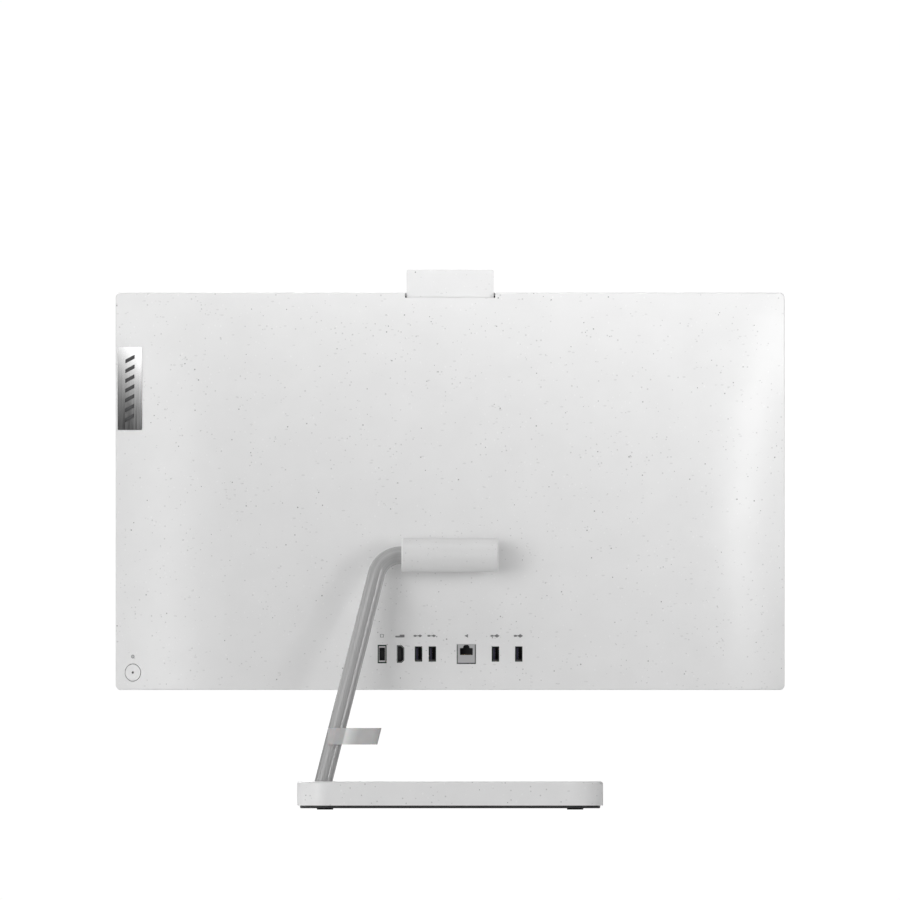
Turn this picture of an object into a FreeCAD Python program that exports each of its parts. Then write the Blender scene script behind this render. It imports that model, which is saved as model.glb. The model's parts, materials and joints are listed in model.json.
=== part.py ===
import FreeCAD, Part
import math
import os
import re

import Sketcher
from FreeCAD import Placement, Rotation, Vector

# All-in-one desktop computer on a bent-tube stand, in millimetres.
# +Z is up, the screen faces -Y, the origin is on the floor under the middle of the base.

SIZES = {
    # head: outline, front plane and the swell of the rear cover
    "head_width": 614, "head_height": 364.7, "head_bottom": 109.8, "head_front": -32,
    "corner_radius": 4.5, "frame_depth": 6, "side_depth": 6, "wall": 2.5, "gap": 0.3,
    "crown_depth": 27, "crown_reach": 100, "crown_level": 220, "crown_fade": 0.63, "form_spare": 3,
    "rim_radius": 1.2, "vent_width": 2.2, "vent_front": 12, "vent_depth": 12.5, "vent_high_front": 8,
    "vent_high_depth": 6.5,
    # display stack
    "lip": 2, "chin_height": 18, "layer_gap": 0.2, "glass_gap": 0.6, "glass_width": 609.2,
    "glass_height": 343.5,
    "glass_depth": 2, "glass_recess": 0.6, "light_width": 604, "light_height": 339, "light_depth": 4.6,
    "chassis_width": 600, "chassis_height": 338, "chassis_depth": 0.8, "chassis_low": 131,
    "chassis_window": 120, "chassis_window_height": 90, "timing_width": 180, "timing_depth": 1.2,
    "timing_height": 22, "timing_low": 380,
    "fabric_depth": 1, "grille_depth": 3.4, "grille_inset": 2, "grille_slot": 1.6, "grille_pitch": 4,
    # tilt axis and hinge barrel
    "tilt_y": 26, "tilt_z": 233.6, "barrel_radius": 15.6, "barrel_length": 89.5, "barrel_bore": 13,
    "cap_depth": 3, "cap_bevel": 1.4, "neck_width": 70, "neck_height": 18, "neck_front": -8,
    "bracket_width": 120, "bracket_height": 56, "bracket_depth": 2.5, "bracket_corner": 6,
    "bracket_screw_x": 26, "bracket_screw_z": 5, "post_radius": 5, "post_inset": 8,
    "washer_radius": 12.4, "washer_depth": 1, "washer_pitch": 4, "washer_start": 6, "shaft_radius": 5,
    "shaft_length": 66,
    "nut_radius": 8, "nut_depth": 6, "screw_radius": 1.5, "screw_head": 3, "screw_head_depth": 1.2,
    # stand tube: leg line, bend and the end that enters the barrel
    "tube_radius": 8, "tube_bore": 6.5, "tube_end": 36, "bend_start": 44.9, "bend_radius": 23.5,
    "foot_x": 116.2, "foot_y": 74, "tube_root": 9.5, "fit": 0.02,
    # base
    "base_width": 280.8, "base_depth": 192, "base_low": 3.7, "base_height": 22.2, "base_corner": 27,
    "base_edge": 2.7, "plate_inset": 2.6, "plate_low": 1.2, "plate_edge": 1.1, "pad_radius": 7.5,
    "pad_x": 114.8, "pad_y": 72, "ballast_width": 216, "ballast_depth": 150, "ballast_height": 8,
    "ballast_x": -14, "ballast_y": -8, "ballast_corner": 8, "flange_radius": 17.5,
    "flange_height": 5, "flange_boss": 11,
    "flange_boss_height": 13, "flange_screw_ring": 14.6, "boss_radius": 4, "boss_x": 128, "boss_y": 45,
    "tap_length": 14, "shank_length": 12, "flange_head": 2.6, "flange_head_depth": 1.6, "flange_shank": 4,
    "rest": 0.1,
    # cable clip on the leg
    "clip_low": 59.7, "clip_height": 15.2, "clip_wall": 1.7, "clip_reach": 33.6, "clip_end": 6,
    "clip_root": 16.5, "clip_root_radius": 5.6, "clip_slit": 3, "clip_mouth": 112.1,
    # pop-up camera
    "camera_width": 80, "camera_rise": 21, "camera_height": 56, "camera_front": -22.4,
    "camera_depth": 9.2, "camera_shell": 1.6, "notch_width": 82.6, "notch_depth": 4.7,
    "window_width": 64, "window_height": 10, "window_depth": 0.7, "window_z": 5.5, "lens_z": 10.5,
    "lens_radius": 3.4, "lens_depth": 2.6, "iris_depth": 1.2, "lens_fit": 0.1, "sensor_width": 60,
    "sensor_height": 12, "sensor_depth": 1, "sensor_z": 4.5, "guide_rail": 3, "guide_floor": 2,
    # power button and indicator
    "button_x": 291.3, "button_z": 125.8, "button_radius": 7.6, "button_hole": 8.2, "button_depth": 3.6,
    "indicator_z": 140.5, "indicator_radius": 1.6, "button_travel": 1, "switch_gap": 2.5,
    "switch_radius": 3, "switch_depth": 1.6, "switch_board_width": 13, "switch_board_height": 26,
    "switch_board_depth": 1, "switch_board_low": 19,
    # badge plate
    "badge_low": 348.5, "badge_high": 424.7, "badge_inner": 283, "badge_outer": 305.2, "badge_depth": 0.6,
    # sockets in the rear cover
    "socket_z": 142.8, "socket_face": 6.5, "power_x": 62.4, "power_width": 7.9, "power_height": 16.6,
    "pocket_width": 5, "pocket_height": 11.9, "pin_width": 1.6, "pin_height": 7,
    "video_x": 45.5, "video_width": 6.5, "video_height": 15.9, "video_bevel": 2.4,
    "data_width": 6.5, "data_height": 13.7, "network_x": -14.9, "network_width": 17.3,
    "network_height": 18, "jack_width": 11.8, "jack_height": 6.4, "jack_low": 141.9, "jack_depth": 14,
    "tab_width": 6, "tab_height": 3.2, "skin": 0.35, "tongue": 1.9, "tongue_short": 2.6,
    "video_tongue_short": 5, "data_tongue_x": 1.2, "video_tongue_x": 0.6,
    # electronics behind the chassis
    "board_front": -17, "board_depth": 1.6, "board_low": 131.5, "strip_width": 250, "strip_x": 5,
    "strip_height": 68, "wing_width": 112, "wing_x": -122, "wing_height": 158, "standoff_radius": 2.6,
    "standoff_inset": 6, "chip_x": -150, "chip_z": 248, "chip_width": 42, "chip_height": 26, "chip_depth": 1.5,
    "memory_x": -104,
    "plate_size": 44, "plate_depth": 2, "pipe_width": 8, "pipe_depth": 3, "pipe_bend": 20,
    "fins_x": -230, "fins_width": 76, "fins_low": 114, "fins_height": 14, "fins_depth": 11,
    "fin_pitch": 2, "fin_depth": 0.4, "blower_width": 78, "blower_height": 72, "blower_depth": 11,
    "rotor_radius": 28, "rotor_hub": 11, "rotor_depth": 7, "blade_count": 24, "blade_width": 1,
    "speaker_x": 130, "speaker_width": 90, "speaker_height": 15, "speaker_depth": 13,
    "speaker_gap": 0.5, "speaker_rim": 7, "speaker_corner": 2.5, "cone_radius": 6, "cone_x": 24,
    # cards, cells and antennas on the board
    "card_lift": 2, "card_depth": 0.8, "card_height": 22, "card_low": 28, "seat_height": 20,
    "memory_width": 69.6, "memory_height": 30, "memory_depth": 1.2, "memory_low": 10, "memory_pitch": 36,
    "memory_chip_width": 9, "memory_chip_height": 12, "memory_chip_depth": 1, "memory_chip_pitch": 15,
    "memory_seat_width": 72, "memory_seat_height": 4, "drive_x": 65, "drive_width": 80, "drive_seat": 6,
    "drive_chip_width": 14, "drive_chip_height": 16, "drive_chip_depth": 1.2, "drive_chip_pitch": 20,
    "radio_x": -25, "radio_width": 30, "radio_seat": 5, "radio_can_width": 18, "radio_can_height": 16,
    "radio_can_depth": 1.4, "cell_radius": 10, "cell_depth": 3.2, "cell_x": 115, "cell_z": 20,
    "antenna_x": 150, "antenna_width": 50, "antenna_height": 9, "antenna_depth": 0.6, "antenna_drop": 14,
    "blower_wall": 1, "blower_corner": 6, "rotor_rise": 3, "rotor_web": 0.8, "pipe_start": 4, "pipe_rise": 5,
    "fin_base": 0.5,
}

VENT_GROUPS = {"exhaust": -230, "middle": 0, "intake": 230}
VENTS_IN_GROUP = 15
VENT_PITCH = 5
FORM_SECTIONS = 6
WASHERS = 6
BLADE_LEAN = 25
DATA_SOCKETS = {"data_socket_1": 29.0, "data_socket_2": 16.3, "data_socket_3": -41.6, "data_socket_4": -63.0}
ALONG = {"x": Rotation(Vector(0, 1, 0), 90), "y": Rotation(Vector(1, 0, 0), -90), "z": Rotation()}

doc = FreeCAD.newDocument("all_in_one_computer")
sheet = doc.addObject("Spreadsheet::Sheet", "dim")
for row, (alias, value) in enumerate(SIZES.items(), start=1):
    sheet.set(f"A{row}", alias)
    sheet.set(f"B{row}", str(value))
    sheet.setAlias(f"B{row}", alias)
doc.recompute()

sub_parts = []


def formula(text):
    """Point the plain names in a formula at the cells of the sheet."""
    return re.sub(r"[a-z_]+", lambda word: f"dim.{word[0]}" if word[0] in SIZES else word[0], text)


def size(text):
    """The value of a formula, for the few places that are worked out in code."""
    return float(sheet.evalExpression(formula(text)))


def bind(item, **formulas):
    for name, text in formulas.items():
        item.setExpression(name, formula(text))
    return item


def place(item, at, turn=None):
    """Put an item's origin at three formulas, after an optional turn."""
    if turn is not None:
        item.Placement = Placement(Vector(), turn)
    for axis, text in zip("xyz", at):
        item.setExpression(f"Placement.Base.{axis}", formula(text))
    return item


def keep(item, label):
    """Make an item one of the sub-parts that are written out."""
    item.Label = label
    sub_parts.append(item)
    return item


def block(name, spans, at):
    """A box centred in X on at[0], starting at at[1] and at[2]."""
    item = doc.addObject("Part::Box", name)
    bind(item, Length=spans[0], Width=spans[1], Height=spans[2])
    return place(item, (f"{at[0]} - ({spans[0]}) / 2", at[1], at[2]))


def rod(name, radius, length, at, along="z"):
    item = doc.addObject("Part::Cylinder", name)
    bind(item, Radius=radius, Height=length)
    return place(item, at, ALONG[along])


def group(name, items):
    """Several solids handled as one item; they stay separate solids."""
    item = doc.addObject("Part::Compound", name)
    item.Links = items
    return item


def fuse(name, items):
    item = doc.addObject("Part::MultiFuse", name)
    item.Shapes = items
    return item


def cut(name, base, tools):
    item = doc.addObject("Part::Cut", name)
    item.Base = base
    item.Tool = tools[0] if len(tools) == 1 else group(name + "_tools", tools)
    return item


def common(name, first, second):
    item = doc.addObject("Part::Common", name)
    item.Base = first
    item.Tool = second
    return item


def runs_along(edge, axis):
    lengths = {"x": edge.BoundBox.XLength, "y": edge.BoundBox.YLength, "z": edge.BoundBox.ZLength}
    return all(length < 1e-3 for name, length in lengths.items() if name != axis)


def lies_at(edge, axis, level):
    low, high = {"y": (edge.BoundBox.YMin, edge.BoundBox.YMax),
                 "z": (edge.BoundBox.ZMin, edge.BoundBox.ZMax)}[axis]
    return abs(low - level) < 1e-3 and abs(high - level) < 1e-3


def round_edges(body, name, wanted, radius):
    """Fillet the edges of a body's tip that the test picks."""
    doc.recompute()
    base = body.Tip
    edges = [f"Edge{i}" for i, edge in enumerate(base.Shape.Edges, start=1) if wanted(edge)]
    fillet = body.newObject("PartDesign::Fillet", name)
    fillet.Base = (base, edges)
    bind(fillet, Radius=radius)
    doc.recompute()
    return fillet


def slab(name, spans, at, radius, along, rims=()):
    """A box with its corner edges rounded, and then the rims at some levels of its own depth."""
    body = doc.addObject("PartDesign::Body", name)
    core = body.newObject("PartDesign::AdditiveBox", name + "_core")
    bind(core, Length=spans[0], Width=spans[1], Height=spans[2])
    round_edges(body, name + "_corners", lambda edge: runs_along(edge, along), radius)
    for number, (level, rim_radius) in enumerate(rims):
        height = size(level)
        round_edges(body, f"{name}_rim_{number}", lambda edge: lies_at(edge, along, height), rim_radius)
    return place(body, (f"{at[0]} - ({spans[0]}) / 2", at[1], at[2]))


def sketch_on(body, name, role, offset="0"):
    """A sketch on one of the body's own origin planes, raised by a formula."""
    sketch = body.newObject("Sketcher::SketchObject", name)
    plane = next(item for item in body.Origin.OriginFeatures if item.Role == role)
    sketch.AttachmentSupport = [(plane, "")]
    sketch.MapMode = "FlatFace"
    sketch.setExpression("AttachmentOffset.Base.z", formula(offset))
    return sketch


def dimension(sketch, kind, *refs, to):
    """Add a sketch dimension that follows a formula."""
    number = sketch.addConstraint(Sketcher.Constraint(kind, *refs, size(to)))
    sketch.setExpression(f"Constraints[{number}]", formula(to))


def polygon(sketch, points):
    """A closed outline of straight edges through corners given as formulas."""
    corners = [Vector(size(x), size(y), 0) for x, y in points]
    first = sketch.GeometryCount
    for number, corner in enumerate(corners):
        sketch.addGeometry(Part.LineSegment(corner, corners[(number + 1) % len(corners)]))
    for number, (x, y) in enumerate(points):
        line = first + number
        following = first + (number + 1) % len(points)
        sketch.addConstraint(Sketcher.Constraint("Coincident", line, 2, following, 1))
        dimension(sketch, "DistanceX", -1, 1, line, 1, to=x)
        dimension(sketch, "DistanceY", -1, 1, line, 1, to=y)


def circle(sketch, x, y, radius):
    centre = Vector(size(x), size(y), 0)
    number = sketch.addGeometry(Part.Circle(centre, Vector(0, 0, 1), size(radius)))
    dimension(sketch, "DistanceX", -1, 1, number, 3, to=x)
    dimension(sketch, "DistanceY", -1, 1, number, 3, to=y)
    dimension(sketch, "Radius", number, to=radius)


def pad(body, name, sketch, length, midplane=False):
    feature = body.newObject("PartDesign::Pad", name)
    feature.Profile = sketch
    bind(feature, Length=length)
    feature.Midplane = midplane
    return feature


# ---------------------------------------------------------------- rear cover

HEAD_TOP = "(head_bottom + head_height)"
SEAM = "(head_front + frame_depth)"
CROWN_BACK = "(head_front + frame_depth + side_depth + crown_depth)"


def crown_at(z):
    """How far the cover swells behind its side edges at a height: less towards the top."""
    fade = f"max(0; {z} - crown_level) / ({HEAD_TOP} - crown_level)"
    return f"(crown_depth * (1 - crown_fade * ({fade})^2))"


def cover_surface(x, z):
    """Place (y) and slope angle of the cover's outer face at a point on its +X half."""
    crown = size(crown_at(str(z)))
    reach = size("crown_reach")
    radius = (reach ** 2 + crown ** 2) / (2 * crown)
    beyond = max(0.0, x - (size("head_width") / 2 - reach))
    angle = math.asin(beyond / radius)
    back = size(f"{SEAM} + side_depth") + crown
    return back - radius * (1 - math.cos(angle)), angle


def cover_form(name, shift):
    """The swollen solid behind the seam, a little wider and taller than the head."""
    body = doc.addObject("PartDesign::Body", name)
    sections = []
    for number in range(FORM_SECTIONS):
        part_way = number / (FORM_SECTIONS - 1)
        z = f"(head_bottom - form_spare + {part_way} * (head_height + 2 * form_spare))"
        crown = f"({crown_at(z)} * ((crown_reach + form_spare) / crown_reach)^2)"
        sections.append(cover_section(body, f"{name}_{number}", z, crown, crown_at(z)))
    loft = body.newObject("PartDesign::AdditiveLoft", name + "_loft")
    loft.Profile = sections[0]
    loft.Sections = sections[1:]
    return place(body, ("0", shift, "0"))


def cover_section(body, name, z, crown, crown_inside):
    """Flat front, short sides, and a flat back joined to the sides by two large arcs."""
    sketch = sketch_on(body, name, "XY_Plane", z)
    half = size("head_width / 2 + form_spare")
    reach = size("crown_reach + form_spare")
    front = size(SEAM)
    depth = size(crown)
    side = size(f"side_depth + {crown_inside} - {crown}")
    radius = (reach ** 2 + depth ** 2) / (2 * depth)
    sweep = math.asin(reach / radius)
    flat = half - reach
    back = front + side + depth
    quarter = math.pi / 2
    arcs = [Part.ArcOfCircle(Part.Circle(Vector(x, back - radius, 0), Vector(0, 0, 1), radius), start, end)
            for x, start, end in ((flat, quarter - sweep, quarter), (-flat, quarter, quarter + sweep))]
    sketch.addGeometry([
        Part.LineSegment(Vector(-half, front, 0), Vector(half, front, 0)),
        Part.LineSegment(Vector(half, front, 0), Vector(half, front + side, 0)),
        arcs[0],
        Part.LineSegment(Vector(flat, back, 0), Vector(-flat, back, 0)),
        arcs[1],
        Part.LineSegment(Vector(-half, front + side, 0), Vector(-half, front, 0))])
    join = Sketcher.Constraint
    sketch.addConstraint([
        join("Coincident", 0, 2, 1, 1), join("Coincident", 1, 2, 2, 1), join("Tangent", 2, 2, 3, 1),
        join("Tangent", 3, 2, 4, 1), join("Coincident", 4, 2, 5, 1), join("Coincident", 5, 2, 0, 1),
        join("Vertical", 1), join("Vertical", 5), join("Equal", 1, 5),
        join("Symmetric", 0, 1, 0, 2, -2), join("Symmetric", 3, 1, 3, 2, -2)])
    dimension(sketch, "DistanceX", 0, 1, 0, 2, to="head_width + 2 * form_spare")
    dimension(sketch, "DistanceY", 1, 1, 1, 2, to=f"side_depth + {crown_inside} - {crown}")
    dimension(sketch, "DistanceX", 3, 2, 3, 1, to="head_width - 2 * crown_reach")
    dimension(sketch, "DistanceY", 1, 2, 3, 1, to=crown)
    dimension(sketch, "DistanceY", -1, 1, 0, 1, to=SEAM)
    return sketch


def head_prism(name, inset, front, depth):
    """The head's rounded outline, drawn in by inset, from a front plane."""
    spans = (f"head_width - 2 * ({inset})", depth, f"head_height - 2 * ({inset})")
    corner = f"max(1; corner_radius - ({inset}))"
    return slab(name, spans, ("0", front, f"head_bottom + ({inset})"), corner, "y")


def normal_placement(x, z, depth):
    """A frame on the cover's surface, sunk by depth, with its Z axis pointing out of the cover."""
    y, angle = cover_surface(x, z)
    outward = Vector(math.sin(angle), math.cos(angle), 0)
    return Placement(Vector(x, y, z) - outward * depth, Rotation(Vector(0, 0, 1), outward))


def disc_on_cover(name, radius, length, z, depth):
    """A round plug standing on the cover's curved edge, under the power button's column."""
    item = doc.addObject("Part::Cylinder", name)
    bind(item, Radius=radius, Height=length)
    item.Placement = normal_placement(size("button_x"), size(z), size(depth))
    return item


def video_outline(inset):
    """Corners of the video socket's outline, drawn in by a formula; its two -X corners are cut off."""
    right = f"(video_width / 2 - ({inset}))"
    top = f"(video_height / 2 - ({inset}))"
    return [(right, f"-{top}"), (right, top), (f"video_bevel - {right}", top),
            (f"-{right}", f"{top} - video_bevel"), (f"-{right}", f"video_bevel - {top}"),
            (f"video_bevel - {right}", f"-{top}")]


def socket_openings():
    """Holes in the cover for the sockets, each a little larger than its socket."""
    spans = {"power": ("power_x", "power_width", "power_height"),
             "network": ("network_x", "network_width", "network_height")}
    for name, x in DATA_SOCKETS.items():
        spans[name] = (str(x), "data_width", "data_height")
    tools = [block(f"{name}_opening", (f"{width} + gap", "crown_depth", f"{height} + gap"),
                   (x, "0", f"socket_z - ({height} + gap) / 2"))
             for name, (x, width, height) in spans.items()]
    body = doc.addObject("PartDesign::Body", "video_opening")
    outline = sketch_on(body, "video_opening_outline", "XZ_Plane")
    polygon(outline, video_outline("-gap / 2"))
    pad(body, "video_opening_pad", outline, "crown_depth").Reversed = True
    tools.append(place(body, ("video_x", "0", "socket_z")))
    return tools


def vents():
    """Rows of slots through the cover's bottom edge and, beside the middle, its top edge."""
    tools = []
    for name, middle in VENT_GROUPS.items():
        for number in range(VENTS_IN_GROUP):
            x = middle + (number - (VENTS_IN_GROUP - 1) / 2) * VENT_PITCH
            tools.append(block(f"{name}_low_{number}", ("vent_width", "vent_depth", "3 * wall"),
                               (str(x), "head_front + vent_front", "head_bottom - wall")))
            if middle:
                tools.append(block(f"{name}_high_{number}", ("vent_width", "vent_high_depth", "3 * wall"),
                                   (str(x), "head_front + vent_high_front", f"{HEAD_TOP} - 2 * wall")))
    return tools


def cover_openings():
    """Everything that is cut through the cover's wall."""
    neck = block("neck_opening", ("neck_width + 4 * gap", "crown_depth", "neck_height + 4 * gap"),
                 ("0", "0", "tilt_z - neck_height / 2 - 2 * gap"))
    notch = block("camera_notch", ("notch_width", "crown_depth", "notch_depth + form_spare"),
                  ("0", "camera_front + camera_depth", f"{HEAD_TOP} - notch_depth"))
    slot = block("camera_slot", ("notch_width", "camera_depth + 2 * gap", "2 * wall + form_spare"),
                 ("0", "camera_front - gap", f"{HEAD_TOP} - 2 * wall"))
    wells = [disc_on_cover("button_well", "button_hole", "4 * wall", "button_z", "3 * wall"),
             disc_on_cover("indicator_well", "indicator_radius", "4 * wall", "indicator_z", "3 * wall")]
    return socket_openings() + [neck, notch, slot] + wells + vents()


def rear_cover():
    outside = common("cover_outside", cover_form("cover_outer", "0"),
                     head_prism("cover_outline", "0", SEAM, "side_depth + crown_depth + form_spare"))
    doc.recompute()
    level = size(f"{SEAM} + side_depth") - 1
    rim = [number for number, edge in enumerate(outside.Shape.Edges, start=1)
           if edge.BoundBox.YMin > level and on_outline(edge)]
    rounded = doc.addObject("Part::Fillet", "cover_rounded")
    rounded.Base = outside
    rounded.Edges = [(number, size("rim_radius"), size("rim_radius")) for number in rim]
    cavity = common("cover_cavity", cover_form("cover_inner", "-wall"),
                    head_prism("cover_hollow", "wall", f"{SEAM} - 1", "side_depth + crown_depth + form_spare"))
    keep(cut("cover_shell", rounded, [cavity] + cover_openings()), "rear_cover")


def on_outline(edge):
    """Whether an edge runs round the head's outline and not across the cover's back."""
    middle = edge.valueAt((edge.FirstParameter + edge.LastParameter) / 2)
    near_side = abs(abs(middle.x) - size("head_width") / 2) < size("corner_radius")
    near_end = min(abs(middle.z - size("head_bottom")), abs(middle.z - size(HEAD_TOP))) < size("corner_radius")
    return near_side or near_end


def badge_plate():
    """A thin metal plate that follows the cover near its +X edge."""
    skin = cut("badge_skin", cover_form("badge_outer_form", "badge_depth"), [cover_form("badge_seat", "0")])
    window = slab("badge_window", ("badge_outer - badge_inner", "crown_depth", "badge_high - badge_low"),
                  ("(badge_outer + badge_inner) / 2", "head_front + side_depth + 1", "badge_low"), "1", "y")
    keep(common("badge", skin, window), "badge_plate")


# ---------------------------------------------------------------- front of the head

GLASS_LOW = "(head_bottom + chin_height + glass_gap)"
GLASS_BACK = "(head_front + glass_recess + glass_depth)"
LIGHT_BACK = f"({GLASS_BACK} + layer_gap + light_depth)"
CHASSIS_BACK = f"({LIGHT_BACK} + layer_gap + chassis_depth)"


def front_bezel():
    outside = head_prism("bezel_outside", "0", "head_front", "frame_depth")
    window = block("bezel_window",
                   ("head_width - 2 * lip", "frame_depth + 2", "head_height - chin_height - lip"),
                   ("0", "head_front - 1", "head_bottom + chin_height"))
    recess = block("chin_recess", ("head_width - 2 * grille_inset", "fabric_depth + grille_depth + gap + 1",
                                   "chin_height - grille_inset"),
                   ("0", "head_front - 1", "head_bottom + grille_inset / 2"))
    mouths = [block(f"speaker_window_{side}", ("speaker_width - 2 * speaker_rim", "2 * frame_depth",
                                                "chin_height / 2"),
                    (f"{side} * speaker_x", "head_front", "head_bottom + chin_height / 4")) for side in (-1, 1)]
    keep(cut("bezel", outside, [window, recess] + mouths), "front_bezel")


def chin():
    """Slotted carrier in the chin's recess, and the fabric stretched over its face."""
    inner_width = "(head_width - 2 * grille_inset - 2 * gap)"
    inner_height = "(chin_height - grille_inset - 2 * gap)"
    low = "(head_bottom + grille_inset / 2 + gap)"
    carrier = block("carrier_body", (inner_width, "grille_depth", inner_height),
                    ("0", "head_front + fabric_depth", low))
    slots = []
    for side in (-1, 1):
        for number in range(-8, 9):
            x = f"{side} * speaker_x + {number} * grille_pitch"
            slots.append(block(f"slot_{side}_{number}", ("grille_slot", "grille_depth + 2", "chin_height / 2"),
                               (x, "head_front", "head_bottom + chin_height / 4")))
    keep(cut("carrier", carrier, slots), "chin_grille")
    keep(slab("fabric", (inner_width, "fabric_depth - 0.05", inner_height), ("0", "head_front", low),
              "0.8", "y"), "chin_fabric")


def display():
    keep(block("glass", ("glass_width", "glass_depth", "glass_height"),
               ("0", "head_front + glass_recess", GLASS_LOW)), "lcd_panel")
    keep(slab("light", ("light_width", "light_depth", "light_height"),
              ("0", f"{GLASS_BACK} + layer_gap", f"{GLASS_LOW} + glass_depth"), "1.5", "y"), "backlight_unit")
    sheet_metal = block("chassis_sheet", ("chassis_width", "chassis_depth", "chassis_height"),
                        ("0", f"{LIGHT_BACK} + layer_gap", "chassis_low"))
    windows = []
    for column in (-1.5, 1.5):
        for level in (0.14, 0.6):
            at = (f"{column} * chassis_window", LIGHT_BACK, f"chassis_low + {level} * chassis_height")
            windows.append(block(f"chassis_window_{column}_{level}",
                                 ("chassis_window", "2", "chassis_window_height"), at))
    keep(cut("chassis", sheet_metal, windows), "mid_frame")
    keep(block("timing_board", ("timing_width", "timing_depth", "timing_height"),
               ("0", f"{CHASSIS_BACK} + 1", "timing_low")), "display_board")


def speakers():
    for side, label in ((1, "speaker_left"), (-1, "speaker_right")):
        case = slab(label + "_case", ("speaker_width", "speaker_depth", "speaker_height"),
                    (f"{side} * speaker_x", f"{SEAM} + speaker_gap", "head_bottom + wall + speaker_gap"),
                    "speaker_corner", "y")
        mouths = [rod(f"{label}_mouth_{half}", "cone_radius", "2",
                      (f"{side} * speaker_x + {half} * cone_x", f"{SEAM} - speaker_gap",
                       "head_bottom + wall + speaker_gap + speaker_height / 2"), "y") for half in (-1, 1)]
        keep(cut(label + "_body", case, mouths), label)


# ---------------------------------------------------------------- hinge

def hinge_barrel():
    """Cast barrel round the tilt axis, with the neck that enters the cover."""
    shell_length = "(barrel_length - 2 * cap_depth)"
    outer = rod("barrel_outer", "barrel_radius", shell_length,
                (f"-{shell_length} / 2", "tilt_y", "tilt_z"), "x")
    neck = block("barrel_neck", ("neck_width", "tilt_y - neck_front", "neck_height"),
                 ("0", "neck_front", "tilt_z - neck_height / 2"))
    bore = rod("barrel_hollow", "barrel_bore", "barrel_length", ("-barrel_length / 2", "tilt_y", "tilt_z"), "x")
    keep(cut("barrel", fuse("barrel_casting", [outer, neck]), [bore]), "hinge_barrel")
    for side, label in ((1, "barrel_cap_left"), (-1, "barrel_cap_right")):
        body = doc.addObject("PartDesign::Body", label + "_body")
        disc = body.newObject("PartDesign::AdditiveCylinder", label + "_disc")
        bind(disc, Radius="barrel_radius", Height="cap_depth")
        doc.recompute()
        bevel = body.newObject("PartDesign::Chamfer", label + "_bevel")
        top = [f"Edge{i}" for i, edge in enumerate(disc.Shape.Edges, start=1)
               if lies_at(edge, "z", size("cap_depth"))]
        bevel.Base = (disc, top)
        bind(bevel, Size="cap_bevel")
        place(body, (f"{side} * (barrel_length / 2 - cap_depth)", "tilt_y", "tilt_z"),
              Rotation(Vector(0, 1, 0), 90 * side))
        hole = rod(label + "_hole", "tube_radius + gap", "barrel_length", ("0", "tilt_y", "tilt_z"), "x")
        keep(cut(label + "_ring", body, [hole]) if side > 0 else body, label)


def hinge_bracket():
    sheet_metal = slab("bracket_sheet", ("bracket_width", "bracket_depth", "bracket_height"),
                       ("0", "neck_front - bracket_depth", "tilt_z - bracket_height / 2"), "bracket_corner",
                       "y")
    posts = [rod(f"bracket_post_{x}_{z}", "post_radius", f"neck_front - bracket_depth - {CHASSIS_BACK}",
                 (f"{x} * (bracket_width / 2 - post_inset)", CHASSIS_BACK,
                  f"tilt_z + {z} * (bracket_height / 2 - post_inset)"), "y")
             for x in (-1, 1) for z in (-1, 1)]
    keep(fuse("bracket", [sheet_metal] + posts), "hinge_bracket")
    heads = [rod(f"bracket_screw_{x}_{z}", "screw_head", "screw_head_depth",
                 (f"{x} * bracket_screw_x", "neck_front - bracket_depth - screw_head_depth",
                  f"tilt_z + {z} * bracket_screw_z"), "y") for x in (-1, 1) for z in (-1, 1)]
    keep(group("bracket_screw_set", heads), "bracket_screws")


def hinge_inside():
    """Shaft fixed in the tube's end, friction washers and the nut that loads them."""
    start = ("tube_end - shaft_length", "tilt_y", "tilt_z")
    shaft = rod("shaft_rod", "shaft_radius", "shaft_length", start, "x")
    plug = rod("shaft_plug", "tube_bore - fit", "tube_radius", ("tube_end", "tilt_y", "tilt_z"), "x")
    keep(fuse("shaft", [shaft, plug]), "hinge_shaft")
    rings = []
    for number in range(WASHERS):
        x = f"tube_end - washer_start - {number} * washer_pitch"
        disc = rod(f"washer_disc_{number}", "washer_radius", "washer_depth", (x, "tilt_y", "tilt_z"), "x")
        eye = rod(f"washer_eye_{number}", "shaft_radius + fit", "3 * washer_depth",
                  (f"{x} - washer_depth", "tilt_y", "tilt_z"), "x")
        rings.append(cut(f"washer_{number}", disc, [eye]))
    keep(group("washer_stack", rings), "friction_washers")
    nut = doc.addObject("Part::Prism", "nut_body")
    nut.Polygon = 6
    bind(nut, Circumradius="nut_radius", Height="nut_depth")
    place(nut, (f"tube_end - washer_start - {WASHERS - 1} * washer_pitch - nut_depth", "tilt_y", "tilt_z"),
          ALONG["x"])
    thread = rod("nut_thread", "shaft_radius + fit", "shaft_length", start, "x")
    keep(cut("nut", nut, [thread]), "hinge_nut")


# ---------------------------------------------------------------- stand

def lean():
    """Angle at which the tube's plane leans back from the upright, towards +Y at the foot."""
    drop = size("tilt_z - base_low - base_height")
    return math.atan2(size("foot_y - tilt_y"), drop)


def leg_direction():
    """Unit vector down the straight leg, and the point where its line meets the tilt axis height."""
    turn = math.cos(lean())
    drop = size("tilt_z - base_low - base_height") / turn
    radius = size("bend_radius")
    run = size("foot_x - bend_start")
    far = math.hypot(run, drop - radius)
    along_leg = math.sqrt(far ** 2 - radius ** 2)
    heading = math.atan2(run, drop - radius) - math.atan2(radius, along_leg)
    slope = Vector(math.sin(heading), 0, -math.cos(heading))
    return Rotation(Vector(1, 0, 0), math.degrees(lean())).multVec(slope)


def on_leg(z):
    """The point of the leg's centre line at a height."""
    foot = Vector(size("foot_x"), size("foot_y"), size("base_low + base_height"))
    down = leg_direction()
    return foot + down * ((z - foot.z) / down.z)


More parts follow.
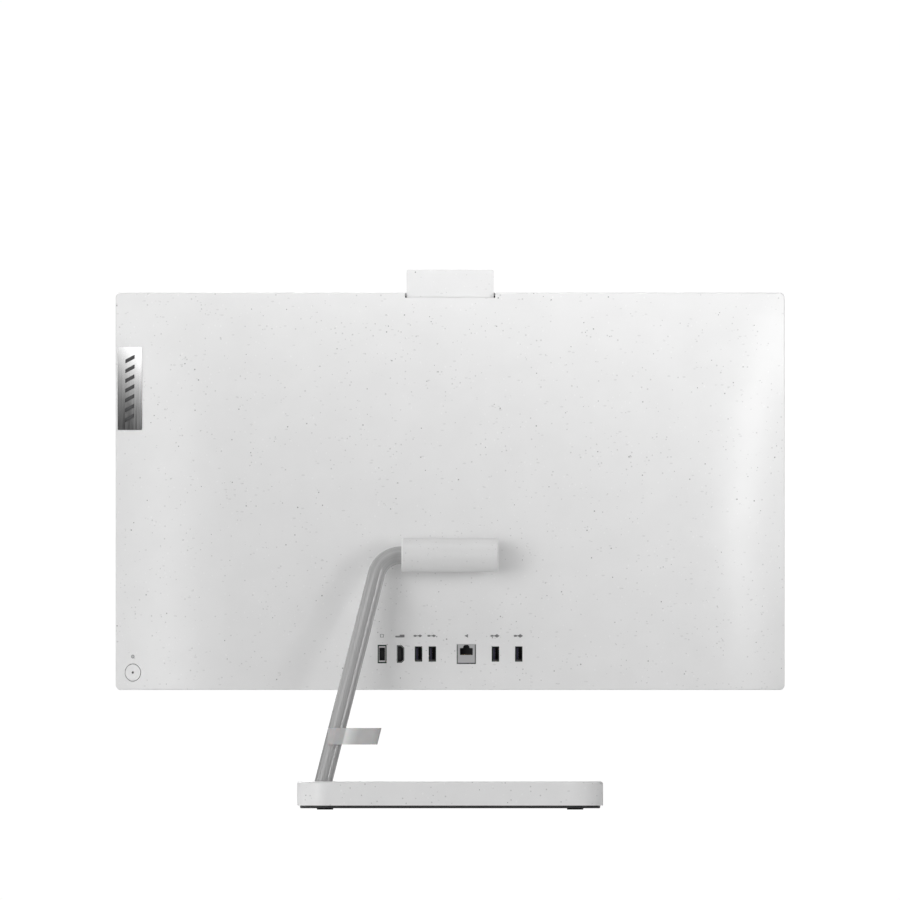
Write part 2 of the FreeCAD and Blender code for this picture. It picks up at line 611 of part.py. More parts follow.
def stand_tube():
    body = doc.addObject("PartDesign::Body", "tube_body")
    route = sketch_on(body, "tube_route", "XZ_Plane")
    foot = on_leg(size("tube_root"))
    bottom = Vector(foot.x, -size("tilt_z - tube_root") / math.cos(lean()), 0)
    radius = size("bend_radius")
    start = Vector(size("tube_end"), 0, 0)
    bend = Vector(size("bend_start"), 0, 0)
    centre = bend - Vector(0, radius, 0)
    down = Rotation(Vector(1, 0, 0), -math.degrees(lean())).multVec(leg_direction())
    rise = math.atan2(down.x, -down.z)
    leave = centre + Vector(math.cos(rise), math.sin(rise), 0) * radius
    route.addGeometry([Part.LineSegment(start, bend),
                       Part.ArcOfCircle(Part.Circle(centre, Vector(0, 0, 1), radius), rise, math.pi / 2),
                       Part.LineSegment(leave, bottom)])
    join = Sketcher.Constraint
    route.addConstraint([join("Tangent", 0, 2, 1, 2), join("Tangent", 1, 1, 2, 1), join("Horizontal", 0),
                         join("PointOnObject", 0, 1, -1)])
    dimension(route, "DistanceX", -1, 1, 0, 1, to="tube_end")
    dimension(route, "DistanceX", -1, 1, 0, 2, to="bend_start")
    dimension(route, "Radius", 1, to="bend_radius")
    dimension(route, "DistanceX", -1, 1, 2, 2, to=f"{bottom.x}")
    dimension(route, "DistanceY", -1, 1, 2, 2, to=f"{bottom.y}")
    ring = sketch_on(body, "tube_ring", "YZ_Plane", "tube_end")
    circle(ring, "0", "0", "tube_radius")
    circle(ring, "0", "0", "tube_bore")
    pipe = body.newObject("PartDesign::AdditivePipe", "tube_sweep")
    pipe.Profile = ring
    pipe.Spine = route
    place(body, ("0", "tilt_y", "tilt_z"), Rotation(Vector(1, 0, 0), math.degrees(lean())))
    keep(body, "stand_tube")


def leg_rod(name, radius, low, high):
    """A cylinder on the leg's centre line between two heights."""
    bottom = on_leg(size(low))
    top = on_leg(size(high))
    item = doc.addObject("Part::Cylinder", name)
    item.Placement = Placement(bottom, Rotation(Vector(0, 0, 1), top - bottom))
    bind(item, Radius=radius)
    item.Height = (top - bottom).Length
    return item


def base():
    top = "(base_low + base_height)"
    outside = slab("base_outside", ("base_width", "base_depth", "base_height"),
                   ("0", "-base_depth / 2", "base_low"), "base_corner", "z", [("base_height", "base_edge")])
    hollow = slab("base_hollow", ("base_width - 2 * wall", "base_depth - 2 * wall", "base_height - wall + 1"),
                  ("0", "wall - base_depth / 2", "base_low - 1"), "base_corner - wall", "z")
    shell = cut("base_case", outside, [hollow])
    posts = [rod(f"base_post_{x}_{y}", "boss_radius", "base_height - 1",
                 (f"{x} * boss_x", f"{y} * boss_y", "base_low + rest")) for x in (-1, 1) for y in (-1, 0, 1)]
    tapped = [rod(f"base_tap_{x}_{y}", "screw_radius + 2 * fit", "tap_length",
                  (f"{x} * boss_x", f"{y} * boss_y", "base_low - 1")) for x in (-1, 1) for y in (-1, 0, 1)]
    exit_hole = leg_rod("tube_exit", "tube_radius + gap", "base_low + base_height - 6", f"{top} + 6")
    keep(cut("base_finished", fuse("base_with_posts", [shell] + posts), tapped + [exit_hole]), "base_shell")

    plate = slab("plate_outside", ("base_width - 2 * plate_inset", "base_depth - 2 * plate_inset",
                                   "base_low - plate_low"),
                 ("0", "plate_inset - base_depth / 2", "plate_low"), "base_corner - plate_inset", "z",
                 [("0", "plate_edge")])
    wells = [rod(f"screw_well_{x}_{y}", "screw_head + gap", "screw_head_depth + gap",
                 (f"{x} * boss_x", f"{y} * boss_y", "plate_low")) for x in (-1, 1) for y in (-1, 0, 1)]
    holes = [rod(f"screw_hole_{x}_{y}", "screw_radius + gap / 2", "6",
                 (f"{x} * boss_x", f"{y} * boss_y", "plate_low - 1")) for x in (-1, 1) for y in (-1, 0, 1)]
    keep(cut("plate", plate, wells + holes), "base_bottom_plate")
    screws = []
    for x in (-1, 1):
        for y in (-1, 0, 1):
            at = (f"{x} * boss_x", f"{y} * boss_y")
            head = rod(f"base_head_{x}_{y}", "screw_head", "screw_head_depth", (*at, "plate_low + gap"))
            shank = rod(f"base_shank_{x}_{y}", "screw_radius", "shank_length", (*at, "plate_low + gap"))
            screws.append(fuse(f"base_screw_{x}_{y}", [head, shank]))
    keep(group("base_screw_set", screws), "base_screws")
    pads = [slab(f"pad_{x}_{y}", ("2 * pad_radius", "2 * pad_radius", "plate_low"),
                 (f"{x} * pad_x", f"{y} * pad_y - pad_radius", "0"), "pad_radius - 0.01", "z")
            for x in (-1, 1) for y in (-1, 1)]
    keep(group("pad_set", pads), "rubber_feet")
    keep(slab("ballast", ("ballast_width", "ballast_depth", "ballast_height"),
              ("ballast_x", "ballast_y - ballast_depth / 2", "base_low + rest"), "ballast_corner", "z"),
         "base_weight")


def tube_flange():
    """Welded foot of the tube, screwed to the bottom plate."""
    disc = rod("flange_disc", "flange_radius", "flange_height", ("foot_x - 1", "foot_y - 1", "base_low + rest"))
    boss = leg_rod("flange_boss", "flange_boss", "base_low + flange_height",
                   "base_low + flange_boss_height")
    bore = leg_rod("flange_bore", "tube_radius + fit", "tube_root - 0.02", "base_low + 2 * base_height")
    holes = []
    heads = []
    for number in range(3):
        turn = math.radians(90 * number + 135)
        at = (f"foot_x - 1 + flange_screw_ring * {math.cos(turn)}",
              f"foot_y - 1 + flange_screw_ring * {math.sin(turn)}")
        holes.append(rod(f"flange_hole_{number}", "screw_radius + fit", "base_height", (*at, "base_low - 1")))
        head = rod(f"flange_head_{number}", "flange_head", "flange_head_depth",
                   (*at, "base_low + rest + flange_height"))
        shank = rod(f"flange_shank_{number}", "screw_radius", "flange_shank",
                    (*at, "base_low + rest + flange_height + fit - flange_shank + 0.1"))
        heads.append(fuse(f"flange_screw_{number}", [head, shank]))
    keep(cut("flange", fuse("flange_casting", [disc, boss]), [bore] + holes), "tube_flange")
    keep(group("flange_screw_set", heads), "flange_screws")


def belt(sketch, near, far, near_radius, far_radius):
    """Closed outline of two arcs and the two lines that touch both, along the sketch's X axis."""
    start = size(near)
    end = size(far)
    small = size(far_radius)
    large = size(near_radius)
    lean_in = math.asin((large - small) / (end - start))
    up = math.pi / 2 - lean_in
    touch = Vector(math.cos(up), math.sin(up), 0)
    mirror = Vector(touch.x, -touch.y, 0)
    left = Vector(start, 0, 0)
    right = Vector(end, 0, 0)
    first = sketch.GeometryCount
    sketch.addGeometry([
        Part.ArcOfCircle(Part.Circle(left, Vector(0, 0, 1), large), up, 2 * math.pi - up),
        Part.LineSegment(left + mirror * large, right + mirror * small),
        Part.ArcOfCircle(Part.Circle(right, Vector(0, 0, 1), small), -up, up),
        Part.LineSegment(right + touch * small, left + touch * large)])
    for one, one_end, other, other_end in ((0, 2, 1, 1), (1, 2, 2, 1), (2, 2, 3, 1), (3, 2, 0, 1)):
        sketch.addConstraint(Sketcher.Constraint("Tangent", first + one, one_end, first + other, other_end))
    for arc, middle, radius in ((0, near, near_radius), (2, far, far_radius)):
        sketch.addConstraint(Sketcher.Constraint("PointOnObject", first + arc, 3, -1))
        dimension(sketch, "DistanceX", -1, 1, first + arc, 3, to=middle)
        dimension(sketch, "Radius", first + arc, to=radius)


def cable_clip():
    """A snap-on band round the leg, open towards +X, with a flat loop beside it and level ends."""
    body = doc.addObject("PartDesign::Body", "clip_body")
    outline = sketch_on(body, "clip_outline", "XY_Plane")
    belt(outline, "0", "clip_reach", "tube_radius + clip_wall", "clip_end")
    circle(outline, "0", "0", "tube_radius + fit")
    belt(outline, "clip_root", "clip_reach", "clip_root_radius", "clip_end - clip_wall")
    pad(body, "clip_pad", outline, "4 * clip_height", midplane=True)
    middle = on_leg(size("clip_low + clip_height / 2"))
    up = leg_direction() * -1
    sideways = Vector(-1, 0, 0)
    back = up.cross(sideways)
    body.Placement = Placement(middle, Rotation(sideways, back, up, "ZXY"))
    between = block("clip_heights", ("base_width", "base_depth", "clip_height"),
                    ("clip_reach", "0", "clip_low"))
    level = common("clip_level", body, between)
    slit = block("clip_entry", ("clip_slit", "clip_end * 3", "2 * clip_height"),
                 (f"{middle.x} - clip_reach + clip_slit", f"{middle.y} - clip_end * 3", "clip_low - 2"))
    mouth = block("clip_opening", ("clip_end * 3", "clip_end * 6", "2 * clip_height"),
                  ("clip_mouth + clip_end * 1.5", f"{middle.y} - clip_end * 3", "clip_low - 2"))
    keep(cut("clip", level, [slit, mouth]), "cable_clip")


# ---------------------------------------------------------------- camera, button, sockets

CAMERA_LOW = f"({HEAD_TOP} + camera_rise - camera_height)"


def lens_hole(name):
    """The hole for the lens through the camera's window and front shell."""
    return rod(name, "lens_radius + lens_fit", "lens_depth + 2",
               ("0", "camera_front - 1", f"{HEAD_TOP} + lens_z"), "y")


def camera():
    middle = "(camera_front + camera_depth / 2)"
    hollow_spans = ("camera_width - 2 * camera_shell", "camera_depth / 2 - camera_shell + 1",
                    "camera_height - 2 * camera_shell")
    for label, front in (("camera_front_shell", "camera_front"), ("camera_back_shell", middle)):
        outside = slab(label + "_outside", ("camera_width", "camera_depth / 2 - 0.02", "camera_height"),
                       ("0", front, CAMERA_LOW), "1.5", "y")
        inner_front = f"{front} + camera_shell" if label == "camera_front_shell" else f"{front} - 1"
        hollow = block(label + "_hollow", hollow_spans, ("0", inner_front, f"{CAMERA_LOW} + camera_shell"))
        tools = [hollow]
        if label == "camera_front_shell":
            tools.append(slab("window_seat", ("window_width + 0.2", "1", "window_height + 0.2"),
                              ("0", "camera_front - 0.2", f"{HEAD_TOP} + window_z - 0.1"), "window_height / 2",
                              "y"))
            tools.append(lens_hole("lens_seat"))
        keep(cut(label + "_body", outside, tools), label)
    window = slab("window_plate", ("window_width", "window_depth", "window_height"),
                  ("0", "camera_front", f"{HEAD_TOP} + window_z"), "window_height / 2 - 0.01", "y")
    keep(cut("window", window, [lens_hole("window_eye")]), "camera_window")
    barrel = rod("lens_barrel", "lens_radius", "lens_depth", ("0", "camera_front", f"{HEAD_TOP} + lens_z"), "y")
    iris = doc.addObject("Part::Cone", "lens_iris")
    bind(iris, Radius1="lens_radius * 3 / 4", Radius2="lens_radius / 3", Height="iris_depth")
    place(iris, ("0", "camera_front - 0.01", f"{HEAD_TOP} + lens_z"), ALONG["y"])
    keep(cut("lens", barrel, [iris]), "camera_lens")
    keep(block("sensor_board", ("sensor_width", "sensor_depth", "sensor_height"),
               ("0", f"{middle} - sensor_depth", f"{HEAD_TOP} + sensor_z")), "camera_board")

    rails = [block(f"guide_rail_{side}", ("guide_rail", "camera_depth + gap", "camera_height - 1.2 * wall"),
                   (f"{side} * (camera_width / 2 + 2 * gap + guide_rail / 2)", "camera_front",
                    f"{CAMERA_LOW} - camera_rise")) for side in (-1, 1)]
    floor = block("guide_bottom", ("camera_width + 4 * gap + 2 * guide_rail", "camera_depth", "guide_floor"),
                  ("0", "camera_front", f"{CAMERA_LOW} - camera_rise - guide_floor"))
    keep(fuse("guide", rails + [floor]), "camera_guide")


def power_button():
    keep(disc_on_cover("button_disc", "button_radius", "button_depth", "button_z", "button_depth"),
         "power_button_cap")
    keep(disc_on_cover("lens_disc", "indicator_radius - fit", "button_depth", "indicator_z", "button_depth"),
         "indicator_lens")
    sunk = "button_depth + button_travel + switch_gap"
    board = doc.addObject("Part::Box", "switch_board")
    bind(board, Length="switch_board_width", Width="switch_board_height", Height="switch_board_depth")
    frame = normal_placement(size("button_x"), size("button_z"), size(sunk))
    outward = frame.Rotation.multVec(Vector(0, 0, 1))
    turn = Rotation(Vector(outward.y, -outward.x, 0), Vector(0, 0, 1), outward, "ZXY")
    corner = Vector(-size("switch_board_width / 2"), -size("switch_board_low"), -size("switch_board_depth"))
    board.Placement = Placement(frame.Base, turn) * Placement(corner, Rotation())
    switch = disc_on_cover("switch_can", "switch_radius", "switch_depth", "button_z", sunk)
    keep(fuse("switch", [board, switch]), "button_board")


def socket_block(name, x, width, height):
    """The solid of a socket's shell, from the board to just under the cover's face."""
    return block(name, (f"{width} - 2 * gap", "socket_face - board_front - board_depth", f"{height} - 2 * gap"),
                 (x, "board_front + board_depth", f"socket_z - ({height} - 2 * gap) / 2"))


def sockets():
    mouth = "socket_face - jack_depth"
    pocket = block("power_pocket", ("pocket_width", "jack_depth + 1", "pocket_height"),
                   ("power_x", mouth, "socket_z - pocket_height / 2"))
    pin = block("power_pin", ("pin_width", "jack_depth - 2", "pin_height"),
                ("power_x", mouth, "socket_z - pin_height / 2"))
    case = cut("power_case", socket_block("power_body", "power_x", "power_width", "power_height"), [pocket])
    keep(fuse("power_inlet", [case, pin]), "power_socket")

    for label, x in DATA_SOCKETS.items():
        case = socket_block(label + "_case", str(x), "data_width", "data_height")
        hollow = block(label + "_hollow", ("data_width - 2 * gap - 2 * skin", "jack_depth + 1",
                                           "data_height - 2 * gap - 2 * skin"),
                       (str(x), mouth, "socket_z - (data_height - 2 * gap - 2 * skin) / 2"))
        tongue = block(label + "_tongue", ("tongue", "jack_depth - 1", "data_height - tongue_short"),
                       (f"{x} + data_tongue_x", mouth, "socket_z - (data_height - tongue_short) / 2"))
        keep(fuse(label + "_body", [cut(label + "_shell", case, [hollow]), tongue]), label)

    body = doc.addObject("PartDesign::Body", "video_body")
    outline = sketch_on(body, "video_outer", "XZ_Plane")
    polygon(outline, video_outline("gap"))
    pad(body, "video_pad", outline, "socket_face - board_front - board_depth").Reversed = True
    profile = sketch_on(body, "video_mouth", "XZ_Plane", "board_front + board_depth - socket_face")
    polygon(profile, video_outline("gap + skin"))
    hollow = body.newObject("PartDesign::Pocket", "video_pocket")
    hollow.Profile = profile
    hollow.Reversed = True
    bind(hollow, Length="jack_depth")
    place(body, ("video_x", "board_front + board_depth", "socket_z"))
    tongue = block("video_tongue", ("tongue", "jack_depth - 1", "video_height - video_tongue_short"),
                   ("video_x + video_tongue_x", mouth, "socket_z - (video_height - video_tongue_short) / 2"))
    keep(fuse("video_outlet", [body, tongue]), "video_socket")

    face = socket_block("network_body", "network_x", "network_width", "network_height")
    jack = block("network_jack", ("jack_width", "jack_depth + 1", "jack_height"),
                 ("network_x", mouth, "jack_low"))
    tab = rod("network_tab", "tab_width / 2", "jack_depth + 1",
              ("network_x", mouth, "jack_low + jack_height + tab_height - tab_width / 2"), "y")
    keep(cut("network_inlet", face, [jack, tab]), "network_socket")


# ---------------------------------------------------------------- electronics

BOARD_BACK = "(board_front + board_depth)"


def mainboard():
    strip = block("board_strip", ("strip_width", "board_depth", "strip_height"),
                  ("strip_x", "board_front", "board_low"))
    wing = block("board_wing", ("wing_width", "board_depth", "wing_height"),
                 ("wing_x", "board_front", "board_low"))
    keep(fuse("board", [strip, wing]), "mainboard")
    left, right = ("wing_x - wing_width / 2 + standoff_inset", "strip_x + strip_width / 2 - standoff_inset")
    low, high = ("board_low + standoff_inset", "board_low + strip_height - standoff_inset")
    wing_high = "board_low + wing_height - standoff_inset"
    spots = [(right, low), (right, high), ("strip_x", high), (left, low), (left, wing_high),
             ("wing_x + wing_width / 2 - standoff_inset", wing_high)]
    posts = [rod(f"standoff_{number}", "standoff_radius", f"board_front - {CHASSIS_BACK}",
                 (x, CHASSIS_BACK, z), "y") for number, (x, z) in enumerate(spots)]
    keep(group("standoff_set", posts), "board_standoffs")
    heads = [rod(f"board_head_{number}", "screw_head", "screw_head_depth", (x, BOARD_BACK, z), "y")
             for number, (x, z) in enumerate(spots)]
    keep(group("board_screw_set", heads), "board_screws")


def memory_stick(number):
    low = f"board_low + memory_low + {number} * memory_pitch"
    front = f"{BOARD_BACK} + card_lift"
    pieces = [block(f"memory_{number}", ("memory_width", "memory_depth", "memory_height"),
                    ("memory_x", front, low)),
              block(f"memory_{number}_seat", ("memory_seat_width", "card_lift", "memory_seat_height"),
                    ("memory_x", BOARD_BACK, low))]
    pieces += [block(f"memory_{number}_chip_{chip}",
                     ("memory_chip_width", "memory_chip_depth", "memory_chip_height"),
                     (f"memory_x + {chip} * memory_chip_pitch", f"{front} + memory_depth",
                      f"{low} + memory_low")) for chip in (-2, -1, 1, 2)]
    return fuse(f"memory_stick_{number}", pieces)


def seated_card(name, x, width, seat_x, seat):
    """A short card lying over the board, with the seat that holds its edge."""
    card = block(f"{name}_card", (width, "card_depth", "card_height"),
                 (x, f"{BOARD_BACK} + card_lift", "board_low + card_low"))
    holder = block(f"{name}_seat", (seat, "card_lift", "seat_height"),
                   (seat_x, BOARD_BACK, "board_low + card_low + (card_height - seat_height) / 2"))
    return [card, holder]


def cards():
    keep(group("memory_set", [memory_stick(number) for number in range(2)]), "memory_modules")
    on_card = f"{BOARD_BACK} + card_lift + card_depth"
    drive = seated_card("drive", "drive_x", "drive_width", "drive_x - drive_width / 2 + drive_seat / 2",
                        "drive_seat")
    drive += [block(f"drive_chip_{number}", ("drive_chip_width", "drive_chip_depth", "drive_chip_height"),
                    (f"drive_x + {number} * drive_chip_pitch", on_card,
                     "board_low + card_low + (card_height - drive_chip_height) / 2")) for number in (-1, 0, 1)]
    keep(fuse("drive", drive), "storage_drive")
    radio = seated_card("radio", "radio_x", "radio_width", "radio_x + radio_width / 2 - radio_seat / 2",
                        "radio_seat")
    radio.append(block("radio_can", ("radio_can_width", "radio_can_depth", "radio_can_height"),
                       ("radio_x", on_card, "board_low + card_low + (card_height - radio_can_height) / 2")))
    keep(fuse("radio", radio), "wireless_card")
    keep(rod("coin_cell", "cell_radius", "cell_depth", ("cell_x", BOARD_BACK, "board_low + cell_z"), "y"),
         "clock_battery")
    foils = [block(f"antenna_{side}", ("antenna_width", "antenna_depth", "antenna_height"),
                   (f"{side} * antenna_x", f"{CHASSIS_BACK} + layer_gap", f"{HEAD_TOP} - antenna_drop"))
             for side in (-1, 1)]
    keep(group("antenna_set", foils), "antennas")


PLATE_FRONT = f"({BOARD_BACK} + chip_depth)"
PIPE_FRONT = f"({PLATE_FRONT} + plate_depth)"
FINS_FRONT = f"({PIPE_FRONT} - 0.1 - fins_depth)"


def processor():
    keep(slab("processor", ("chip_width", "chip_depth", "chip_height"),
              ("chip_x", BOARD_BACK, "chip_z - chip_height / 2"), "0.6", "y"), "processor_package")
    keep(slab("spreader", ("plate_size", "plate_depth", "plate_size"),
              ("chip_x", PLATE_FRONT, "chip_z - plate_size / 2"), "3", "y"), "cold_plate")


def heat_pipe():
    """Flattened pipe from the cold plate down and round to the fins."""
    body = doc.addObject("PartDesign::Body", "pipe_body")
    route = sketch_on(body, "pipe_route", "XZ_Plane")
    start_z = "chip_z + plate_size / 2 - pipe_start"
    level = "fins_low + fins_height / 2 + pipe_rise"
    finish = "fins_x - fins_width / 2 + plate_depth"
    top = Vector(size("chip_x"), size(start_z), 0)
    corner = Vector(size("chip_x"), size(level), 0)
    radius = size("pipe_bend")
    centre = corner + Vector(-radius, radius, 0)
    route.addGeometry([
        Part.LineSegment(top, Vector(corner.x, centre.y, 0)),
        Part.ArcOfCircle(Part.Circle(centre, Vector(0, 0, 1), radius), -math.pi / 2, 0),
        Part.LineSegment(Vector(centre.x, corner.y, 0), Vector(size(finish), corner.y, 0))])
    join = Sketcher.Constraint
    route.addConstraint([join("Tangent", 0, 2, 1, 2), join("Tangent", 1, 1, 2, 1), join("Vertical", 0),
                         join("Horizontal", 2)])
    dimension(route, "DistanceX", -1, 1, 0, 1, to="chip_x")
    dimension(route, "DistanceY", -1, 1, 0, 1, to=start_z)
    dimension(route, "Radius", 1, to="pipe_bend")
    dimension(route, "DistanceX", -1, 1, 2, 2, to=finish)
    dimension(route, "DistanceY", -1, 1, 2, 2, to=level)
    section = sketch_on(body, "pipe_section", "XY_Plane", start_z)
    near, far = ("chip_x - pipe_width / 2", "chip_x + pipe_width / 2")
    polygon(section, [(near, "0"), (far, "0"), (far, "pipe_depth"), (near, "pipe_depth")])
    pipe = body.newObject("PartDesign::AdditivePipe", "pipe_sweep")
    pipe.Profile = section
    pipe.Spine = route
    keep(place(body, ("0", PIPE_FRONT, "0")), "heat_pipe")


def fin_stack():
    fins = [block(f"fin_{number}", ("fin_depth", "fins_depth", "fins_height"),
                  (f"fins_x + {number} * fin_pitch", FINS_FRONT, "fins_low")) for number in range(-18, 19)]
    fins.append(block("fin_back", ("fins_width", "fin_base", "fins_height"),
                      ("fins_x", f"{PIPE_FRONT} - 0.1 - fin_base", "fins_low")))
    keep(fuse("fins", fins), "fin_stack")


def blower():
    """The blower's case over the fins, and the bladed wheel that turns in it."""
    low = "(fins_low + fins_height + 0.5)"
    centre_z = f"({low} + blower_height / 2 + rotor_rise)"
    inside = f"{FINS_FRONT} + blower_wall"
    case = slab("blower_outside", ("blower_width", "blower_depth", "blower_height"),
                ("fins_x", FINS_FRONT, low), "blower_corner", "y")
    depth = "blower_depth - 2 * blower_wall"
    eye = rod("blower_inside", "rotor_radius + 3", depth, ("fins_x", inside, centre_z), "y")
    throat = block("blower_throat", ("blower_width - 10", depth, "blower_height / 3"),
                   ("fins_x", inside, f"{low} - 1"))
    inlet = rod("blower_inlet", "rotor_radius - 8", "blower_depth",
                ("fins_x", f"{inside} + blower_wall", centre_z), "y")
    keep(cut("blower", case, [eye, throat, inlet]), "fan_housing")

    rotor_front = f"({FINS_FRONT} + 2 * blower_wall)"
    hub = rod("rotor_hub_disc", "rotor_hub", "rotor_depth", ("fins_x", rotor_front, centre_z), "y")
    web = rod("rotor_plate", "rotor_radius", "rotor_web", ("fins_x", rotor_front, centre_z), "y")
    middle = Vector(size("fins_x"), size(rotor_front), size(centre_z))
    axis = Vector(0, 1, 0)
    count = int(size("blade_count"))
    blades = []
    for number in range(count):
        blade = doc.addObject("Part::Box", f"blade_{number}")
        bind(blade, Length="rotor_radius - rotor_hub - 3", Width="rotor_depth", Height="blade_width")
        turn = Rotation(axis, number * 360 / count)
        root = turn.multVec(Vector(size("rotor_hub") + 2, 0, 0))
        blade.Placement = Placement(middle + root, turn * Rotation(axis, BLADE_LEAN))
        blades.append(blade)
    keep(fuse("rotor", [hub, web] + blades), "fan_impeller")


rear_cover()
badge_plate()
front_bezel()
chin()
display()
speakers()
hinge_barrel()
hinge_bracket()
hinge_inside()
stand_tube()
base()
tube_flange()
cable_clip()
camera()
power_button()
sockets()
mainboard()
cards()
processor()
heat_pipe()
fin_stack()
blower()

doc.recompute()

faults = [item.Name for item in doc.Objects if "Invalid" in item.State or "Error" in item.State]
faults += [item.Label for item in sub_parts if item.Shape.isNull() or not item.Shape.isValid()]
if faults:
    raise RuntimeError(f"these objects failed: {faults}")

os.makedirs("parts", exist_ok=True)
for item in sub_parts:
    item.Shape.exportStep(f"parts/{item.Label}.step")
print(f"{len(sub_parts)} sub-parts written")
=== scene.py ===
import json
import math
from collections import namedtuple

import bmesh
import bpy
from mathutils import Matrix, Vector


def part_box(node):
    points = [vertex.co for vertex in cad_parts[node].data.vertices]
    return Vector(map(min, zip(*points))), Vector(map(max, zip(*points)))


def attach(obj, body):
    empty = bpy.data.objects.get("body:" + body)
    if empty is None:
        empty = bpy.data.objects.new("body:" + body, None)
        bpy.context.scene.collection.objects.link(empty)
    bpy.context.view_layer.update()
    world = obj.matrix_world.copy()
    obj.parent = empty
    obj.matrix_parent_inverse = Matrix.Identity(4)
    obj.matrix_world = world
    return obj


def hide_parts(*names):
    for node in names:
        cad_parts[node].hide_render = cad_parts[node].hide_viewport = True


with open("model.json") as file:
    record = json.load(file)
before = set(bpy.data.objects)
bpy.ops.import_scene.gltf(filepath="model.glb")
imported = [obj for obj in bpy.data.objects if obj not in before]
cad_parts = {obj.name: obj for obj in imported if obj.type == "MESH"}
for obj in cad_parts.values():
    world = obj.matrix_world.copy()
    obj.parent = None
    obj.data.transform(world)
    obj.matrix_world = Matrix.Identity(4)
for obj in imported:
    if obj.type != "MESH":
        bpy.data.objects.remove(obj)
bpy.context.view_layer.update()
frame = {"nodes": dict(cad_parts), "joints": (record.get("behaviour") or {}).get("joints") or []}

# Looks for an all-in-one desktop computer on a bent-tube stand. Everything is in metres.
# +Z is up, the screen faces -Y, and the rear cover, which the camera looks at, faces +Y.

MM = 0.001

TILT = Vector(next(joint for joint in frame["joints"] if joint["name"] == "tilt")["pos_m"])
COVER_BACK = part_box("rear_cover")[1].y
BASE_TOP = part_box("base_shell")[1].z

# The leg's centre line meets the base's top at FOOT, and goes LEG_SLOPE towards -X for each unit upwards.
TUBE_RADIUS = 8 * MM
FOOT = Vector((116.2 * MM, 74 * MM, BASE_TOP))
LEG_SLOPE = 0.2546


# ---------------------------------------------------------------- materials

# Most of a noise's values lie between these two.
NOISE_SPAN = (0.3, 0.7)

# A colour mix node's sockets for plain numbers and vectors come before those for colours.
MIX_AMOUNT = 0
MIX_FIRST = 6
MIX_SECOND = 7
MIX_RESULT = 2


class Graph:
    """A Principled material and short ways to wire nodes into it."""

    def __init__(self, name, **sockets):
        self.material = bpy.data.materials.new(name)
        self.material.use_nodes = True
        self.tree = self.material.node_tree
        self.shader = self.tree.nodes["Principled BSDF"]
        for socket, value in sockets.items():
            self.shader.inputs[socket.replace("_", " ")].default_value = value
        self.place = self.add("ShaderNodeTexCoord").outputs["Object"]

    def add(self, kind, **settings):
        node = self.tree.nodes.new(kind)
        for key, value in settings.items():
            setattr(node, key, value)
        return node

    def wire(self, source, target):
        """Join another node's output to a socket, or set the socket to a plain value."""
        if isinstance(source, (int, float, tuple)):
            target.default_value = source
        else:
            self.tree.links.new(source, target)

    def wire_place(self, source, target):
        """Join coordinates to a socket: the given ones, or else the piece's own."""
        self.wire(self.place if source is None else source, target)

    def into(self, source, socket):
        self.wire(source, self.shader.inputs[socket])

    def into_grey(self, level):
        """Use one number as all three channels of the base colour."""
        colour = self.add("ShaderNodeCombineColor")
        for socket in colour.inputs:
            self.wire(level, socket)
        self.into(colour.outputs[0], "Base Color")

    def calc(self, operation, first, second=0.0, third=0.0):
        node = self.add("ShaderNodeMath", operation=operation)
        for socket, value in zip(node.inputs, (first, second, third)):
            self.wire(value, socket)
        return node.outputs[0]

    def axes(self):
        """The piece's own coordinates, as separate X, Y and Z."""
        node = self.add("ShaderNodeSeparateXYZ")
        self.wire(self.place, node.inputs[0])
        return node.outputs

    def stretched(self, scale, turn=(0, 0, 0), source=None):
        """Coordinates scaled along each axis and turned."""
        node = self.add("ShaderNodeMapping")
        node.inputs["Rotation"].default_value = turn
        node.inputs["Scale"].default_value = scale
        self.wire_place(source, node.inputs["Vector"])
        return node.outputs[0]

    def noise(self, scale, detail=3.0, roughness=0.5, source=None):
        node = self.add("ShaderNodeTexNoise")
        node.inputs["Scale"].default_value = scale
        node.inputs["Detail"].default_value = detail
        node.inputs["Roughness"].default_value = roughness
        self.wire_place(source, node.inputs["Vector"])
        return node.outputs["Fac"]

    def cells(self, scale, source=None):
        """Distance to the nearest of many scattered points, and two random numbers for that point."""
        node = self.add("ShaderNodeTexVoronoi")
        node.inputs["Scale"].default_value = scale
        self.wire_place(source, node.inputs["Vector"])
        split = self.add("ShaderNodeSeparateColor")
        self.wire(node.outputs["Color"], split.inputs[0])
        return node.outputs["Distance"], split.outputs[0], split.outputs[1]

    def spread(self, source, low, high, to_low=0.0, to_high=1.0):
        """Stretch the values from low to high over another range, and hold those outside at its ends."""
        node = self.add("ShaderNodeMapRange")
        for socket, value in zip(node.inputs, (source, low, high, to_low, to_high)):
            self.wire(value, socket)
        return node.outputs[0]

    def blend(self, amount, first, second):
        """Mix two colours: all of the first at 0, and all of the second at 1."""
        node = self.add("ShaderNodeMix", data_type="RGBA")
        self.wire(amount, node.inputs[MIX_AMOUNT])
        self.wire(first, node.inputs[MIX_FIRST])
        self.wire(second, node.inputs[MIX_SECOND])
        return node.outputs[MIX_RESULT]

    def bump(self, height, distance, strength=1.0):
        node = self.add("ShaderNodeBump")
        node.inputs["Strength"].default_value = strength
        node.inputs["Distance"].default_value = distance
        self.wire(height, node.inputs["Height"])
        self.into(node.outputs[0], "Normal")


def grey(level):
    return (level, level, level, 1.0)


def scaled(colour, factor):
    """A colour made darker or lighter, but never past white."""
    return tuple(min(1.0, channel * factor) for channel in colour) + (1.0,)


